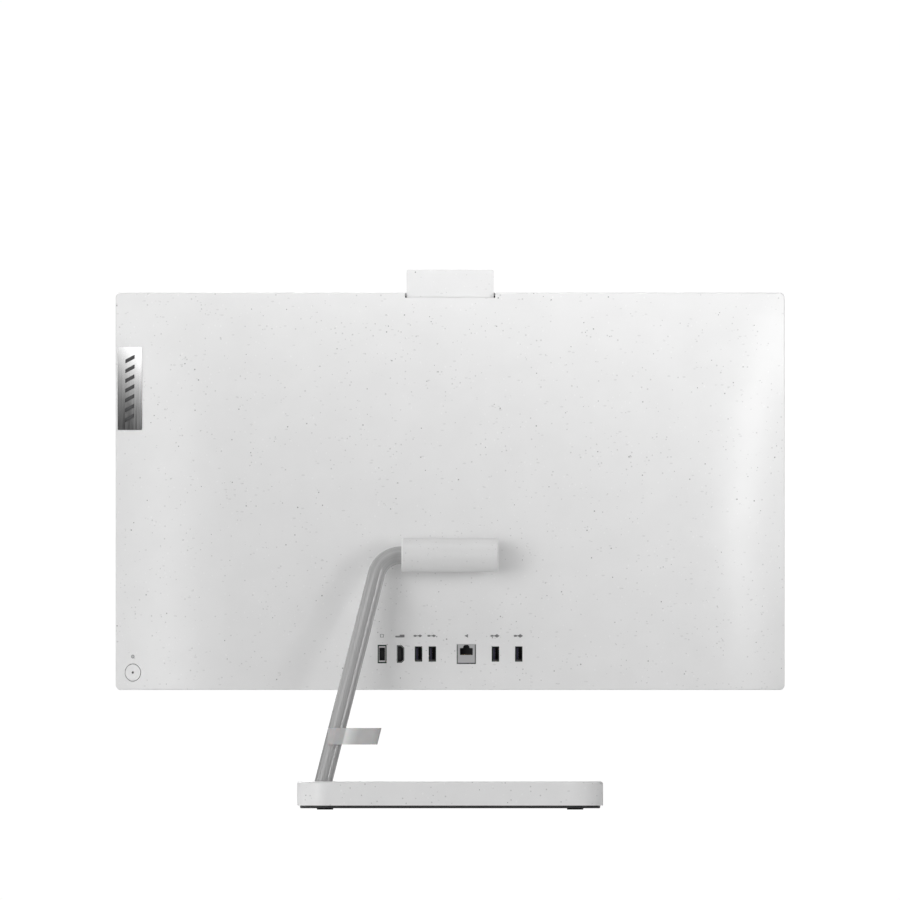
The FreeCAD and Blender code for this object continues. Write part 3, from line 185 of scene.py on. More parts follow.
# One sort of fleck in the pale plastic. Its tint is added to the tone. Its points are spacing apart, and
# share of them show where the crowd is 1. The radius is a share of the spacing, stretch makes fibres of
# dots, and turn points them.
Fleck = namedtuple("Fleck", "tint spacing share radius stretch turn")
FLECKS = (
    Fleck(-0.22, 4.6 * MM, 0.42, 0.17, (1, 1, 1), (0, 0, 0)),
    Fleck(-0.60, 7.5 * MM, 0.42, 0.09, (1, 1, 1), (0.5, 0.3, 0.9)),
    Fleck(-0.12, 4.8 * MM, 0.26, 0.14, (0.42, 1, 1), (0, 0.1, 0)),
    Fleck(-0.12, 4.8 * MM, 0.26, 0.14, (0.42, 1, 1), (0.2, 1.45, 0)),
    Fleck(-0.12, 5.2 * MM, 0.28, 0.14, (0.45, 1, 1), (0.1, 0.75, 0.2)),
    Fleck(-0.12, 5.2 * MM, 0.28, 0.14, (0.45, 1, 1), (0.3, 2.3, 0.1)),
    Fleck(0.06, 4.4 * MM, 0.50, 0.17, (1, 1, 0.7), (0.4, 0.1, 0.7)),
)


def flecks(graph, fleck, crowd):
    """A mask of scattered flecks, thicker on the ground where the crowd value is high.

    Each is 0.6 to 1.1 times the stated radius, with a soft edge.
    """
    source = graph.stretched(fleck.stretch, fleck.turn)
    distance, chance, size = graph.cells(1 / fleck.spacing, source)
    shown = graph.calc("GREATER_THAN", chance, graph.calc("MULTIPLY_ADD", crowd, -fleck.share, 1.0))
    edge = graph.calc("MULTIPLY_ADD", size, fleck.radius * 0.5, fleck.radius * 0.6)
    inside = graph.spread(graph.calc("DIVIDE", distance, edge), 0.75, 1.1, to_low=1.0, to_high=0.0)
    return graph.calc("MULTIPLY", inside, shown)


def speckled_plastic(name, level, roughness=0.36, strength=1.0):
    """Pale moulded plastic with loose groups of grey dots and short fibres, and a few lighter flecks."""
    graph = Graph(name)
    crowd = graph.spread(graph.noise(55, detail=1), 0.4, 0.62, to_low=0.35, to_high=1.7)
    tint = graph.spread(graph.noise(34, detail=4), *NOISE_SPAN, to_low=0.985, to_high=1.015)
    for fleck in FLECKS:
        tint = graph.calc("MULTIPLY_ADD", flecks(graph, fleck, crowd), fleck.tint * strength, tint)
    graph.into_grey(graph.calc("MULTIPLY", tint, level))
    grain = graph.noise(1500, detail=2)
    graph.into(graph.spread(grain, *NOISE_SPAN, roughness - 0.04, roughness + 0.05), "Roughness")
    graph.bump(grain, 0.03 * MM, strength=0.35)
    return graph.material


def moulded(name, colour, roughness=0.5, grain_scale=1100, grain_depth=0.03 * MM, mottle=0.06, **sockets):
    """Plain moulded plastic with a fine texture and a slight unevenness of tone."""
    graph = Graph(name, **sockets)
    cloud = graph.spread(graph.noise(60, detail=4), *NOISE_SPAN)
    graph.into(graph.blend(cloud, scaled(colour, 1 - mottle), scaled(colour, 1 + mottle)), "Base Color")
    grain = graph.noise(grain_scale)
    graph.into(graph.spread(grain, *NOISE_SPAN, roughness - 0.05, roughness + 0.06), "Roughness")
    graph.bump(grain, grain_depth, strength=0.5)
    return graph.material


def metal(name, colour, roughness=0.3, streak=(1, 1, 1)):
    """Plain metal with fine streaks or grain."""
    graph = Graph(name, Metallic=1.0)
    lines = graph.noise(900, detail=4, roughness=0.6, source=graph.stretched(streak))
    graph.into(graph.blend(lines, scaled(colour, 0.86), scaled(colour, 1.1)), "Base Color")
    graph.into(graph.spread(lines, 0.25, 0.75, roughness * 0.75, roughness * 1.25), "Roughness")
    graph.bump(lines, 0.01 * MM, strength=0.5)
    return graph.material


def brushed_tube(name):
    """Satin steel brushed along its length. The scales are streaks round the tube and per metre of it."""
    graph = Graph(name, Metallic=0.8, Coat_Weight=0.9, Coat_Roughness=0.05)
    lengthwise = graph.add("ShaderNodeUVMap").outputs[0]
    broad_place = graph.stretched((22, 5, 1), source=lengthwise)
    fine_place = graph.stretched((110, 22, 1), source=lengthwise)
    broad = graph.noise(1, detail=3, roughness=0.55, source=broad_place)
    fine = graph.noise(1, detail=4, roughness=0.6, source=fine_place)
    mix = graph.calc("MULTIPLY_ADD", fine, 0.45, graph.calc("MULTIPLY", broad, 0.55))
    graph.into(graph.blend(graph.spread(mix, 0.34, 0.66), grey(0.43), grey(0.62)), "Base Color")
    graph.into(graph.spread(fine, *NOISE_SPAN, 0.72, 0.84), "Roughness")
    graph.bump(fine, 0.015 * MM, strength=0.3)
    return graph.material


def badge_metal(name):
    """Polished plate with a painted reflection: its colour falls from light at the top to dark at the
    bottom, a little aslant.
    """
    graph = Graph(name, Metallic=1.0)
    low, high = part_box("badge_plate")
    fall_per_metre = 9.0
    height = graph.spread(graph.axes()["Z"], low.z, high.z)
    slant = graph.calc("MULTIPLY_ADD", graph.axes()["X"], -fall_per_metre, height)
    slant = graph.calc("ADD", slant, fall_per_metre * (low.x + high.x) / 2)
    # This colour ramp is a painted reflection, light above and dark below, not a tint of the metal.
    painted_reflection = graph.add("ShaderNodeValToRGB")
    reflection_stops = ((0.0, 0.012), (0.3, 0.05), (0.55, 0.13), (0.78, 0.24), (1.0, 0.36))
    while len(painted_reflection.color_ramp.elements) < len(reflection_stops):
        painted_reflection.color_ramp.elements.new(0.5)
    for element, (position, level) in zip(painted_reflection.color_ramp.elements, reflection_stops):
        element.position = position
        element.color = grey(level)
    graph.wire(slant, painted_reflection.inputs[0])
    lines = graph.noise(700, source=graph.stretched((1, 1, 0.03)))
    shine = graph.spread(lines, *NOISE_SPAN, 0.0, 0.12)
    graph.into(graph.blend(shine, painted_reflection.outputs[0], grey(0.5)), "Base Color")
    graph.into(graph.spread(lines, *NOISE_SPAN, 0.16, 0.26), "Roughness")
    return graph.material


def woven_fabric(name, colour, pitch):
    """Fine plain weave: two sets of threads that cross, with heathered threads."""
    graph = Graph(name, Roughness=0.9, Sheen_Weight=0.25, Sheen_Roughness=0.4)
    axes = graph.axes()
    radians_per_metre = 2 * math.pi / pitch
    warp = graph.calc("SINE", graph.calc("MULTIPLY", axes["X"], radians_per_metre))
    weft = graph.calc("SINE", graph.calc("MULTIPLY", axes["Z"], radians_per_metre))
    height = graph.calc("MULTIPLY_ADD", graph.calc("MULTIPLY", warp, weft), 0.5, 0.5)
    heather = graph.noise(2200, detail=2, roughness=0.7, source=graph.stretched((0.25, 1, 1)))
    mixed = graph.calc("MULTIPLY_ADD", heather, 0.6, graph.calc("MULTIPLY", height, 0.5))
    dark = scaled(colour, 0.5)
    light = scaled(colour, 1.5)
    graph.into(graph.blend(graph.spread(mixed, 0.2, 0.85), dark, light), "Base Color")
    graph.bump(height, 0.12 * MM, strength=0.8)
    return graph.material


def screen_glass(name, low, high):
    """Switched-off display: a soft dark picture area inside a printed black border."""
    graph = Graph(name, Specular_IOR_Level=0.5, Coat_Weight=0.25, Coat_Roughness=0.12)
    axes = graph.axes()
    inside = 1.0
    for axis, start, end in (("X", low.x, high.x), ("Z", low.z, high.z)):
        above = graph.calc("GREATER_THAN", axes[axis], start)
        below = graph.calc("LESS_THAN", axes[axis], end)
        inside = graph.calc("MULTIPLY", inside, graph.calc("MULTIPLY", above, below))
    sparkle = graph.noise(2600, detail=2, roughness=0.6)
    picture_dark = (0.010, 0.011, 0.014, 1)
    picture_light = (0.016, 0.017, 0.021, 1)
    border = (0.004, 0.004, 0.005, 1)
    picture = graph.blend(graph.spread(sparkle, *NOISE_SPAN), picture_dark, picture_light)
    graph.into(graph.blend(inside, border, picture), "Base Color")
    border_roughness = graph.spread(sparkle, *NOISE_SPAN, 0.12, 0.16)
    graph.into(graph.calc("MULTIPLY_ADD", inside, 0.17, border_roughness), "Roughness")
    graph.bump(sparkle, 0.004 * MM, strength=0.5)
    return graph.material


def frosted_with_painted_highlight(name):
    """Milky plastic: evenly grey over the tube, with a painted highlight just beside it, grey again along
    the loop.
    """
    graph = Graph(name, Transmission_Weight=0.06, Roughness=0.6, IOR=1.46, Subsurface_Weight=0.2,
                  Subsurface_Scale=0.003)
    cloud = graph.noise(180)
    along = graph.calc("MULTIPLY_ADD", graph.axes()["Z"], LEG_SLOPE, graph.axes()["X"])
    # A band that starts at the tube's edge and fades out between 2 and 13 mm past it is painted lighter: a
    # painted highlight where light comes through the clip, not a tone of the plastic.
    tube_edge = FOOT.x + LEG_SLOPE * FOOT.z - 1.03 * TUBE_RADIUS
    past = graph.calc("SUBTRACT", tube_edge, along)
    rise = graph.spread(past, -0.5 * MM, 0.8 * MM)
    fall = graph.spread(past, 2 * MM, 13 * MM, to_low=1.0, to_high=0.0)
    painted_highlight = graph.calc("MULTIPLY", rise, fall)
    tone = graph.calc("MULTIPLY_ADD", painted_highlight, 0.32, 0.54)
    graph.into_grey(graph.calc("MULTIPLY_ADD", cloud, 0.06, tone))
    graph.bump(cloud, 0.05 * MM, strength=0.3)
    return graph.material


def circuit(name):
    """Green solder mask with lighter tracks and pads."""
    graph = Graph(name, Coat_Weight=0.3, Roughness=0.35)
    tracks = graph.noise(240, detail=2, roughness=0.4, source=graph.stretched((1, 0.2, 3)))
    mask = graph.calc("GREATER_THAN", tracks, 0.55)
    distance = graph.cells(260)[0]
    pads = graph.calc("LESS_THAN", distance, 0.2)
    dark_green = (0.012, 0.09, 0.045, 1)
    track_green = (0.03, 0.2, 0.09, 1)
    pad_gold = (0.6, 0.5, 0.25, 1)
    graph.into(graph.blend(pads, graph.blend(mask, dark_green, track_green), pad_gold), "Base Color")
    graph.bump(mask, 0.02 * MM, strength=0.4)
    return graph.material


# The picture area of the display, inside the panel's black border.
ACTIVE_SIDE = 298.95 * MM
ACTIVE_MARGIN = 1.4 * MM
ACTIVE_HEIGHT = 336.3 * MM
ACTIVE_LOW = Vector((-ACTIVE_SIDE, 0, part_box("lcd_panel")[0].z + ACTIVE_MARGIN))
ACTIVE_HIGH = Vector((ACTIVE_SIDE, 0, ACTIVE_LOW.z + ACTIVE_HEIGHT))

white = speckled_plastic("speckled_white", 0.80)
# The base's copy of the white is made lighter than the cover's: painted light, for the extra light the base
# gets.
base_white_painted_light = speckled_plastic("speckled_white_base", 0.88, strength=1.2)
# The barrel's copy of the white is made darker than the cover's: painted shade on the barrel.
barrel_white_painted_shade = speckled_plastic("speckled_white_barrel", 0.75, roughness=0.4, strength=0.6)
steel = metal("zinc_steel", (0.55, 0.55, 0.57), 0.38, streak=(1, 1, 0.2))
copper = metal("copper", (0.75, 0.4, 0.26), 0.3, streak=(0.2, 1, 1))
aluminium = metal("aluminium", (0.78, 0.79, 0.8), 0.35, streak=(1, 1, 0.1))
gold = metal("contact_gold", (0.85, 0.62, 0.28), 0.25)
iron = moulded("painted_iron", (0.09, 0.09, 0.095), 0.55, 700, 0.08 * MM)
black = moulded("black_plastic", (0.022, 0.022, 0.024), 0.42)
base_black = moulded("base_plate_black", (0.035, 0.035, 0.036), 0.5, 900, 0.05 * MM)
navy = moulded("tongue_navy", (0.008, 0.008, 0.026), 0.35)
window_black = moulded("window_black", (0.006, 0.006, 0.007), 0.08, 300, 0.002 * MM, Coat_Weight=0.6)
rubber = moulded("foot_rubber", (0.04, 0.04, 0.04), 0.8, 1800, 0.06 * MM)
print_grey = moulded("icon_print", (0.23, 0.23, 0.235), 0.55)
smoked = moulded("indicator_window", (0.5, 0.5, 0.505), 0.25, 300, 0.002 * MM)
inlet_white = moulded("inlet_white", (0.62, 0.62, 0.61), 0.4)
dark_shell = moulded("dark_shell", (0.014, 0.014, 0.016), 0.45, 500, 0.01 * MM)
lip_grey = moulded("lip_grey", (0.07, 0.07, 0.072), 0.4)
rim_grey = moulded("rim_grey", (0.22, 0.22, 0.22), 0.45)
jack_face = moulded("jack_face", (0.46, 0.46, 0.465), 0.38, 500, 0.01 * MM)
lens_glass = moulded("lens_glass", (0.01, 0.011, 0.02), 0.03, 100, 0.001 * MM, Coat_Weight=1.0)
chip = moulded("chip_black", (0.03, 0.03, 0.03), 0.6, 900)
tray = moulded("backlight_tray", (0.7, 0.7, 0.7), 0.4)
green = circuit("circuit_board")
clip = frosted_with_painted_highlight("frosted_clip")
fabric = woven_fabric("chin_weave", (0.33, 0.33, 0.335), 0.9 * MM)
badge = badge_metal("badge_metal")
glass = screen_glass("screen_glass", ACTIVE_LOW, ACTIVE_HIGH)
tube_steel = brushed_tube("brushed_tube")

FINISHES = {
    white: ["rear_cover", "front_bezel", "camera_back_shell", "camera_front_shell", "power_button_cap"],
    base_white_painted_light: ["base_shell"],
    barrel_white_painted_shade: ["hinge_barrel", "barrel_cap_left", "barrel_cap_right"],
    glass: ["lcd_panel"],
    tray: ["backlight_unit"],
    fabric: ["chin_fabric"],
    black: ["chin_grille", "speaker_left", "speaker_right", "fan_housing", "fan_impeller", "camera_guide",
            "power_socket"],
    base_black: ["base_bottom_plate"],
    window_black: ["camera_window"],
    rubber: ["rubber_feet"],
    tube_steel: ["stand_tube"],
    steel: ["mid_frame", "hinge_bracket", "bracket_screws", "board_screws", "board_standoffs", "base_screws",
            "flange_screws", "tube_flange", "hinge_shaft", "friction_washers", "hinge_nut", "clock_battery"],
    iron: ["base_weight"],
    badge: ["badge_plate"],
    copper: ["heat_pipe", "cold_plate"],
    aluminium: ["fin_stack", "antennas"],
    green: ["mainboard", "display_board", "camera_board", "button_board", "memory_modules", "storage_drive",
            "wireless_card"],
    chip: ["processor_package"],
    dark_shell: ["data_socket_1", "data_socket_2", "data_socket_3", "data_socket_4", "video_socket"],
    jack_face: ["network_socket"],
    clip: ["cable_clip"],
    lens_glass: ["camera_lens"],
    smoked: ["indicator_lens"],
}
for finish, names in FINISHES.items():
    for node_name in names:
        frame["nodes"][node_name].material_slots[0].material = finish


# ---------------------------------------------------------------- making pieces

SHARP_EDGE = math.radians(35)


def piece(name, mesh_data, body, finish, smooth=True):
    """Turn a bmesh into an object that rides on a body."""
    mesh = bpy.data.meshes.new(name)
    bmesh.ops.recalc_face_normals(mesh_data, faces=mesh_data.faces)
    mesh_data.to_mesh(mesh)
    mesh_data.free()
    mesh.materials.append(finish)
    for face in mesh.polygons:
        face.use_smooth = smooth
    item = bpy.data.objects.new(name, mesh)
    bpy.context.scene.collection.objects.link(item)
    if smooth:
        mesh.set_sharp_from_angle(angle=SHARP_EDGE)
    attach(item, body)
    return item


def add_box(data, low, high, bevel=0.0):
    """Add a box between two corners, with its edges rounded."""
    low = Vector(low)
    high = Vector(high)
    made = bmesh.ops.create_cube(data, size=1.0)
    bmesh.ops.scale(data, vec=high - low, verts=made["verts"])
    bmesh.ops.translate(data, vec=(low + high) / 2, verts=made["verts"])
    if bevel:
        edges = list({edge for vert in made["verts"] for edge in vert.link_edges})
        bmesh.ops.bevel(data, geom=edges, offset=bevel, segments=2, affect="EDGES", profile=0.5)


def add_band(data, loop, other):
    """Add faces between two closed loops that have the same number of corners."""
    count = len(loop)
    faces = []
    for number in range(count):
        following = (number + 1) % count
        corners = (loop[number], loop[following], other[following], other[number])
        faces.append(data.faces.new(corners))
    return faces


def add_closed_wall(data, loops):
    """Join each loop to the next one, and the last loop to the first."""
    for number, loop in enumerate(loops):
        add_band(data, loop, loops[(number + 1) % len(loops)])


def add_prism(data, outline, place, depth, bevel=0.0):
    """Add a flat shape, given as (x, y) points in order, raised by depth along the Z of its place."""
    bottom = [data.verts.new(place @ Vector((x, y, 0))) for x, y in outline]
    top = [data.verts.new(place @ Vector((x, y, depth))) for x, y in outline]
    data.faces.new(list(reversed(bottom)))
    lid = data.faces.new(top)
    add_band(data, bottom, top)
    if bevel:
        bmesh.ops.bevel(data, geom=list(lid.edges), offset=bevel, segments=2, affect="EDGES", profile=0.5)


def add_ring(data, place, outer, inner, depth, steps=28):
    """Add a flat raised ring."""
    loops = []
    for radius, height in ((inner, 0), (outer, 0), (outer, depth), (inner, depth)):
        loop = []
        for number in range(steps):
            angle = 2 * math.pi * number / steps
            corner = Vector((radius * math.cos(angle), radius * math.sin(angle), height))
            loop.append(data.verts.new(place @ corner))
        loops.append(loop)
    add_closed_wall(data, loops)


def add_sleeve(data, outer, inner, front, back):
    """Add a closed wall between two outlines of (x, z) points, running from front to back along Y."""
    loops = []
    for outline, y in ((outer, front), (inner, front), (inner, back), (outer, back)):
        loops.append([data.verts.new((x, y, z)) for x, z in outline])
    add_closed_wall(data, loops)


def round_outline(width, height, radius, steps=6):
    """Corners of a rounded rectangle round the middle of its plane."""
    points = []
    for quarter, (side, end) in enumerate(((1, 1), (-1, 1), (-1, -1), (1, -1))):
        middle = (side * (width / 2 - radius), end * (height / 2 - radius))
        for step in range(steps + 1):
            angle = (quarter + step / steps) * math.pi / 2
            points.append((middle[0] + radius * math.cos(angle), middle[1] + radius * math.sin(angle)))
    return points


def facing_back(x, z, y=COVER_BACK):
    """A place on a plane that faces +Y: its X runs towards -X, the right as seen from behind."""
    matrix = Matrix(((-1, 0, 0), (0, 0, 1), (0, 1, 0))).to_4x4()
    matrix.translation = Vector((x, y, z))
    return matrix


def on_slope(node):
    """A place in the middle of a node on the cover's +X slope, facing straight out of it."""
    mesh = frame["nodes"][node].data
    outward = Vector((0, 0, 0))
    for face in mesh.polygons:
        if face.normal.y > 0.5:
            outward += face.normal * face.area
    outward.normalize()
    low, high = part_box(node)
    centre = (low + high) / 2
    surface = max(vert.co.dot(outward) for vert in mesh.vertices)
    centre += outward * (surface - centre.dot(outward))
    across = outward.cross(Vector((0, 0, 1))).normalized()
    up = across.cross(outward)
    matrix = Matrix((across, -up, outward)).transposed()
    if matrix.determinant() < 0:
        matrix = Matrix((across, up, outward)).transposed()
    matrix = matrix.to_4x4()
    matrix.translation = centre
    return matrix


# ---------------------------------------------------------------- stand tube

# The tube's end and the start of its bend are measured along X from the middle of the barrel, and its
# bottom is a height.
TUBE_END = 36.05 * MM
BEND_START = 44.9 * MM
BEND_RADIUS = 23.5 * MM
TUBE_BOTTOM = 10 * MM
TUBE_SIDES = 64
STUB_STEPS = 4
BEND_STEPS = 40
LEG_STEPS = 24


def tube_route():
    """Points along the tube's centre line: straight out of the barrel, round the bend, down the leg.

    The bend and the leg are laid out flat, with the barrel's axis along X, and then tipped to the foot.
    The leg leaves the bend at a tangent.
    """
    lean = math.atan2(FOOT.y - TILT.y, TILT.z - FOOT.z)
    tipped = Matrix.Rotation(lean, 3, "X")
    drop = (TILT.z - FOOT.z) / math.cos(lean)
    run = FOOT.x - BEND_START
    far = math.hypot(run, drop - BEND_RADIUS)
    tangent = math.sqrt(far ** 2 - BEND_RADIUS ** 2)
    heading = math.atan2(run, drop - BEND_RADIUS) - math.atan2(BEND_RADIUS, tangent)

    stub = BEND_START - TUBE_END
    flat = [Vector((TUBE_END + stub * step / STUB_STEPS, 0, 0)) for step in range(STUB_STEPS)]
    centre = Vector((BEND_START, 0, -BEND_RADIUS))
    for step in range(BEND_STEPS + 1):
        angle = math.pi / 2 + (heading - math.pi / 2) * step / BEND_STEPS
        flat.append(centre + Vector((math.cos(angle), 0, math.sin(angle))) * BEND_RADIUS)
    leave = flat[-1]
    down = Vector((math.sin(heading), 0, -math.cos(heading)))
    end = (TILT.z - TUBE_BOTTOM) / math.cos(lean)
    length = (end + leave.z) / math.cos(heading)
    flat += [leave + down * length * step / LEG_STEPS for step in range(1, LEG_STEPS + 1)]
    return [Vector((0, TILT.y, TILT.z)) + tipped @ point for point in flat]


def stand_tube():
    """The bent tube, with coordinates that run once round it and, in metres, along it."""
    route = tube_route()
    data = bmesh.new()
    layer = data.loops.layers.uv.new("length")
    side = Vector((0, 1, 0))
    loops = []
    travelled = 0.0
    for number, point in enumerate(route):
        before = route[max(0, number - 1)]
        after = route[min(len(route) - 1, number + 1)]
        forward = (after - before).normalized()
        side = (side - forward * side.dot(forward)).normalized()
        across = forward.cross(side)
        if number:
            travelled += (point - before).length
        loop = []
        for step in range(TUBE_SIDES):
            angle = 2 * math.pi * step / TUBE_SIDES
            outward = side * math.cos(angle) + across * math.sin(angle)
            loop.append(data.verts.new(point + outward * TUBE_RADIUS))
        loops.append((loop, travelled))
    for (loop, here), (other, there) in zip(loops, loops[1:]):
        for number, face in enumerate(add_band(data, loop, other)):
            places = ((number, here), (number + 1, here), (number + 1, there), (number, there))
            for corner, (turn, along) in zip(face.loops, places):
                corner[layer].uv = (turn / TUBE_SIDES, along)
    data.faces.new(loops[0][0])
    data.faces.new(loops[-1][0])
    tube = piece("brushed_stand_tube", data, "stand", tube_steel)
    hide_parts("stand_tube")


# ---------------------------------------------------------------- socket details

# How far the network jack's lining and the sockets' trim go in, the trim's rounded edges, and how much is
# cut off the display outlet's corners.
SOCKET_DEPTH = 13.6 * MM
TRIM_DEPTH = 1 * MM
TRIM_BEVEL = 0.04 * MM
VIDEO_BEVEL = 2.4 * MM

# The network jack's mouth: half its width, the heights of its bottom and top, and the notch's circle.
JACK_HALF = 5.9 * MM
JACK_LOW = 141.9 * MM
JACK_TOP = 148.3 * MM
NOTCH_RADIUS = 3.0 * MM
NOTCH_CENTRE = 148.5 * MM


def rectangle(low, high):
    """Corners of a rectangle as (x, z) points."""
    return [(high.x, low.z), (high.x, high.z), (low.x, high.z), (low.x, low.z)]


def video_outline(low, high, inset):
    """Outline of the display outlet, a given distance in from its edge: its -X corners are cut off."""
    left, right, bottom, top = (low.x + inset, high.x - inset, low.z + inset, high.z - inset)
    cut = VIDEO_BEVEL - 0.6 * inset
    return [(right, bottom), (right, top), (left + cut, top), (left, top - cut), (left, bottom + cut),
            (left + cut, bottom)]


def jack_outline(centre, inset, steps=14):
    """Outline of the network jack's mouth: a wide slot with a round-topped notch above it."""
    half = JACK_HALF - inset
    low = JACK_LOW + inset
    top = JACK_TOP - inset
    radius = NOTCH_RADIUS - inset
    start = math.asin((top - NOTCH_CENTRE) / radius)
    points = [(centre + half, low), (centre + half, top)]
    for step in range(steps + 1):
        angle = start + (math.pi - 2 * start) * step / steps
        points.append((centre + radius * math.cos(angle), NOTCH_CENTRE + radius * math.sin(angle)))
    return points + [(centre - half, top), (centre - half, low)]


def data_socket(number, tongues, contacts, lips):
    """The tongue, four contacts and lower lip in the mouth of one data socket."""
    low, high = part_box(f"data_socket_{number}")
    middle = (low + high) / 2
    tongue_low = (middle.x + 0.25 * MM, high.y - 12 * MM, low.z + 1.2 * MM)
    tongue_high = (middle.x + 2.15 * MM, high.y - 0.9 * MM, high.z - 1.2 * MM)
    add_box(tongues, tongue_low, tongue_high, bevel=0.2 * MM)
    pitch = 2.4 * MM
    for contact in range(4):
        height = middle.z + (contact - 1.5) * pitch
        contact_low = (middle.x + 0.15 * MM, high.y - 9 * MM, height - 0.5 * MM)
        contact_high = (middle.x + 0.3 * MM, high.y - 3.6 * MM, height + 0.5 * MM)
        add_box(contacts, contact_low, contact_high)
    lip_low = (low.x + 0.5 * MM, high.y - 4 * MM, low.z + 0.25 * MM)
    lip_high = (high.x - 0.5 * MM, high.y - 0.3 * MM, low.z + 1.35 * MM)
    add_box(lips, lip_low, lip_high, bevel=0.15 * MM)


def network_jack(liners, contacts, lips, rims, brow):
    """The network jack's lining, eight contacts, lip, two side rims and brow."""
    low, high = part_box("network_socket")
    centre = (low.x + high.x) / 2
    back = high.y - SOCKET_DEPTH
    mouth = (jack_outline(centre, 0.02 * MM), jack_outline(centre, 0.3 * MM))
    add_sleeve(liners, *mouth, high.y - 0.15 * MM, back)
    end_wall = [(centre - x, z) for x, z in jack_outline(centre, 0.1 * MM)]
    add_prism(liners, end_wall, facing_back(0, 0, back) @ Matrix.Translation((-centre, 0, 0)), 0.4 * MM)

    pitch = 1.02 * MM
    for contact in range(8):
        x = centre + (contact - 3.5) * pitch
        contact_low = (x - 0.2 * MM, high.y - 12 * MM, JACK_LOW + 0.35 * MM)
        contact_high = (x + 0.2 * MM, high.y - 7.5 * MM, JACK_LOW + 0.75 * MM)
        add_box(contacts, contact_low, contact_high)

    front = high.y - TRIM_DEPTH
    rim_width = 0.7 * MM
    for left in (low.x, high.x - rim_width):
        rim_high = (left + rim_width, high.y + 0.05 * MM, high.z)
        add_box(rims, (left, front, low.z), rim_high, TRIM_BEVEL)
    lip_low = (low.x, front, low.z - 0.2 * MM)
    lip_high = (high.x, high.y + 0.06 * MM, low.z + 0.7 * MM)
    add_box(lips, lip_low, lip_high, TRIM_BEVEL)
    brow_low = (low.x - 0.2 * MM, front, high.z - 0.3 * MM)
    brow_high = (high.x + 0.2 * MM, high.y + 0.04 * MM, high.z + 0.42 * MM)
    add_box(brow, brow_low, brow_high, TRIM_BEVEL)


def display_rim(rims):
    """The raised rim round the display outlet's mouth."""
    low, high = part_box("video_socket")
    outlines = (video_outline(low, high, 0), video_outline(low, high, 0.5 * MM))
    add_sleeve(rims, *outlines, high.y + 0.08 * MM, high.y - 0.5 * MM)


def inlet_frame(whites):
    """The white frame round the power inlet's mouth."""
    low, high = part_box("power_socket")
    middle = (low + high) / 2
    outer = Vector((3.05, 0, 7.15)) * MM
    inner = Vector((2.6, 0, 5.95)) * MM
    outlines = (rectangle(middle - outer, middle + outer), rectangle(middle - inner, middle + inner))
    add_sleeve(whites, *outlines, high.y + 0.12 * MM, high.y - TRIM_DEPTH)


def socket_details():
    """Liners, tongues, contacts and rims that show in the mouths of the sockets."""
    liners = bmesh.new()
    tongues = bmesh.new()
    contacts = bmesh.new()
    lips = bmesh.new()
    rims = bmesh.new()
    whites = bmesh.new()
    brow = bmesh.new()
    for number in range(1, 5):
        data_socket(number, tongues, contacts, lips)
    network_jack(liners, contacts, lips, rims, brow)
    display_rim(rims)
    inlet_frame(whites)

    piece("socket_liners", liners, "head", black, smooth=False)
    piece("data_tongues", tongues, "head", navy)
    piece("socket_contacts", contacts, "head", gold, smooth=False)
    piece("data_lips", lips, "head", lip_grey)
    piece("network_brow", brow, "head", jack_face, smooth=False)
    piece("socket_rims", rims, "head", rim_grey, smooth=False)
    piece("power_inlet_frame", whites, "head", inlet_white, smooth=False)


# ---------------------------------------------------------------- printed marks

# The row of printed marks: its height, how far it stands out, and the width of its thin lines.
PRINT_LEVEL = 159.5 * MM
PRINT_DEPTH = 0.06 * MM
PRINT_LINE = 0.55 * MM


def print_bar(data, x, z, width, height):
    """One printed bar with rounded corners."""
    outline = round_outline(width, height, radius=min(width, height) * 0.3, steps=3)
    add_prism(data, outline, facing_back(x, z), PRINT_DEPTH)


def middle_of(name):
    """Where the middle of a node lies along X."""
    low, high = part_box(name)
    return (low.x + high.x) / 2


def data_mark(data, number, width, height):
    """A diamond, a thin line and a blob in a row over one data socket."""
    x = middle_of(f"data_socket_{number}") + 0.3 * MM
    diamond = [(width / 2, 0), (0, height / 2), (-width / 2, 0), (0, -height / 2)]
    add_prism(data, diamond, facing_back(x - 1.7 * MM, PRINT_LEVEL), PRINT_DEPTH)
    print_bar(data, x + 2.9 * MM, PRINT_LEVEL, 2.6 * MM, 1.7 * MM)
    print_bar(data, x + 0.5 * MM, PRINT_LEVEL, 4.0 * MM, PRINT_LINE)


def icon_prints():
    """Small generic marks printed above the sockets."""
    data = bmesh.new()
    x = middle_of("power_socket") + 0.2 * MM
    for side in (-1, 1):
        print_bar(data, x + side * 1.35 * MM, PRINT_LEVEL, PRINT_LINE, 3.0 * MM)
        print_bar(data, x, PRINT_LEVEL + side * 1.3 * MM, 2.2 * MM, 0.35 * MM)
    x = middle_of("video_socket") + 0.6 * MM
    print_bar(data, x, PRINT_LEVEL - 0.7 * MM, 8.4 * MM, 1.5 * MM)
    print_bar(data, x - 2.0 * MM, PRINT_LEVEL + 0.4 * MM, 4.4 * MM, 1.3 * MM)
    for number in (1, 2):
        data_mark(data, number, 4.2 * MM, 2.6 * MM)
    for number in (3, 4):
        data_mark(data, number, 5.0 * MM, 3.4 * MM)
    x = middle_of("network_socket")
    triangle = [(-1.7 * MM, 0), (1.5 * MM, 1.6 * MM), (1.5 * MM, -1.6 * MM)]
    add_prism(data, triangle, facing_back(x, PRINT_LEVEL), PRINT_DEPTH)
    piece("icon_prints", data, "head", print_grey, smooth=False)


def indicator_ring():
    """The thin ring printed round the indicator window."""
    data = bmesh.new()
    add_ring(data, on_slope("indicator_lens"), outer=1.75 * MM, inner=1.1 * MM, depth=0.05 * MM)
    piece("indicator_ring", data, "head", print_grey, smooth=False)


# ---------------------------------------------------------------- badge and button

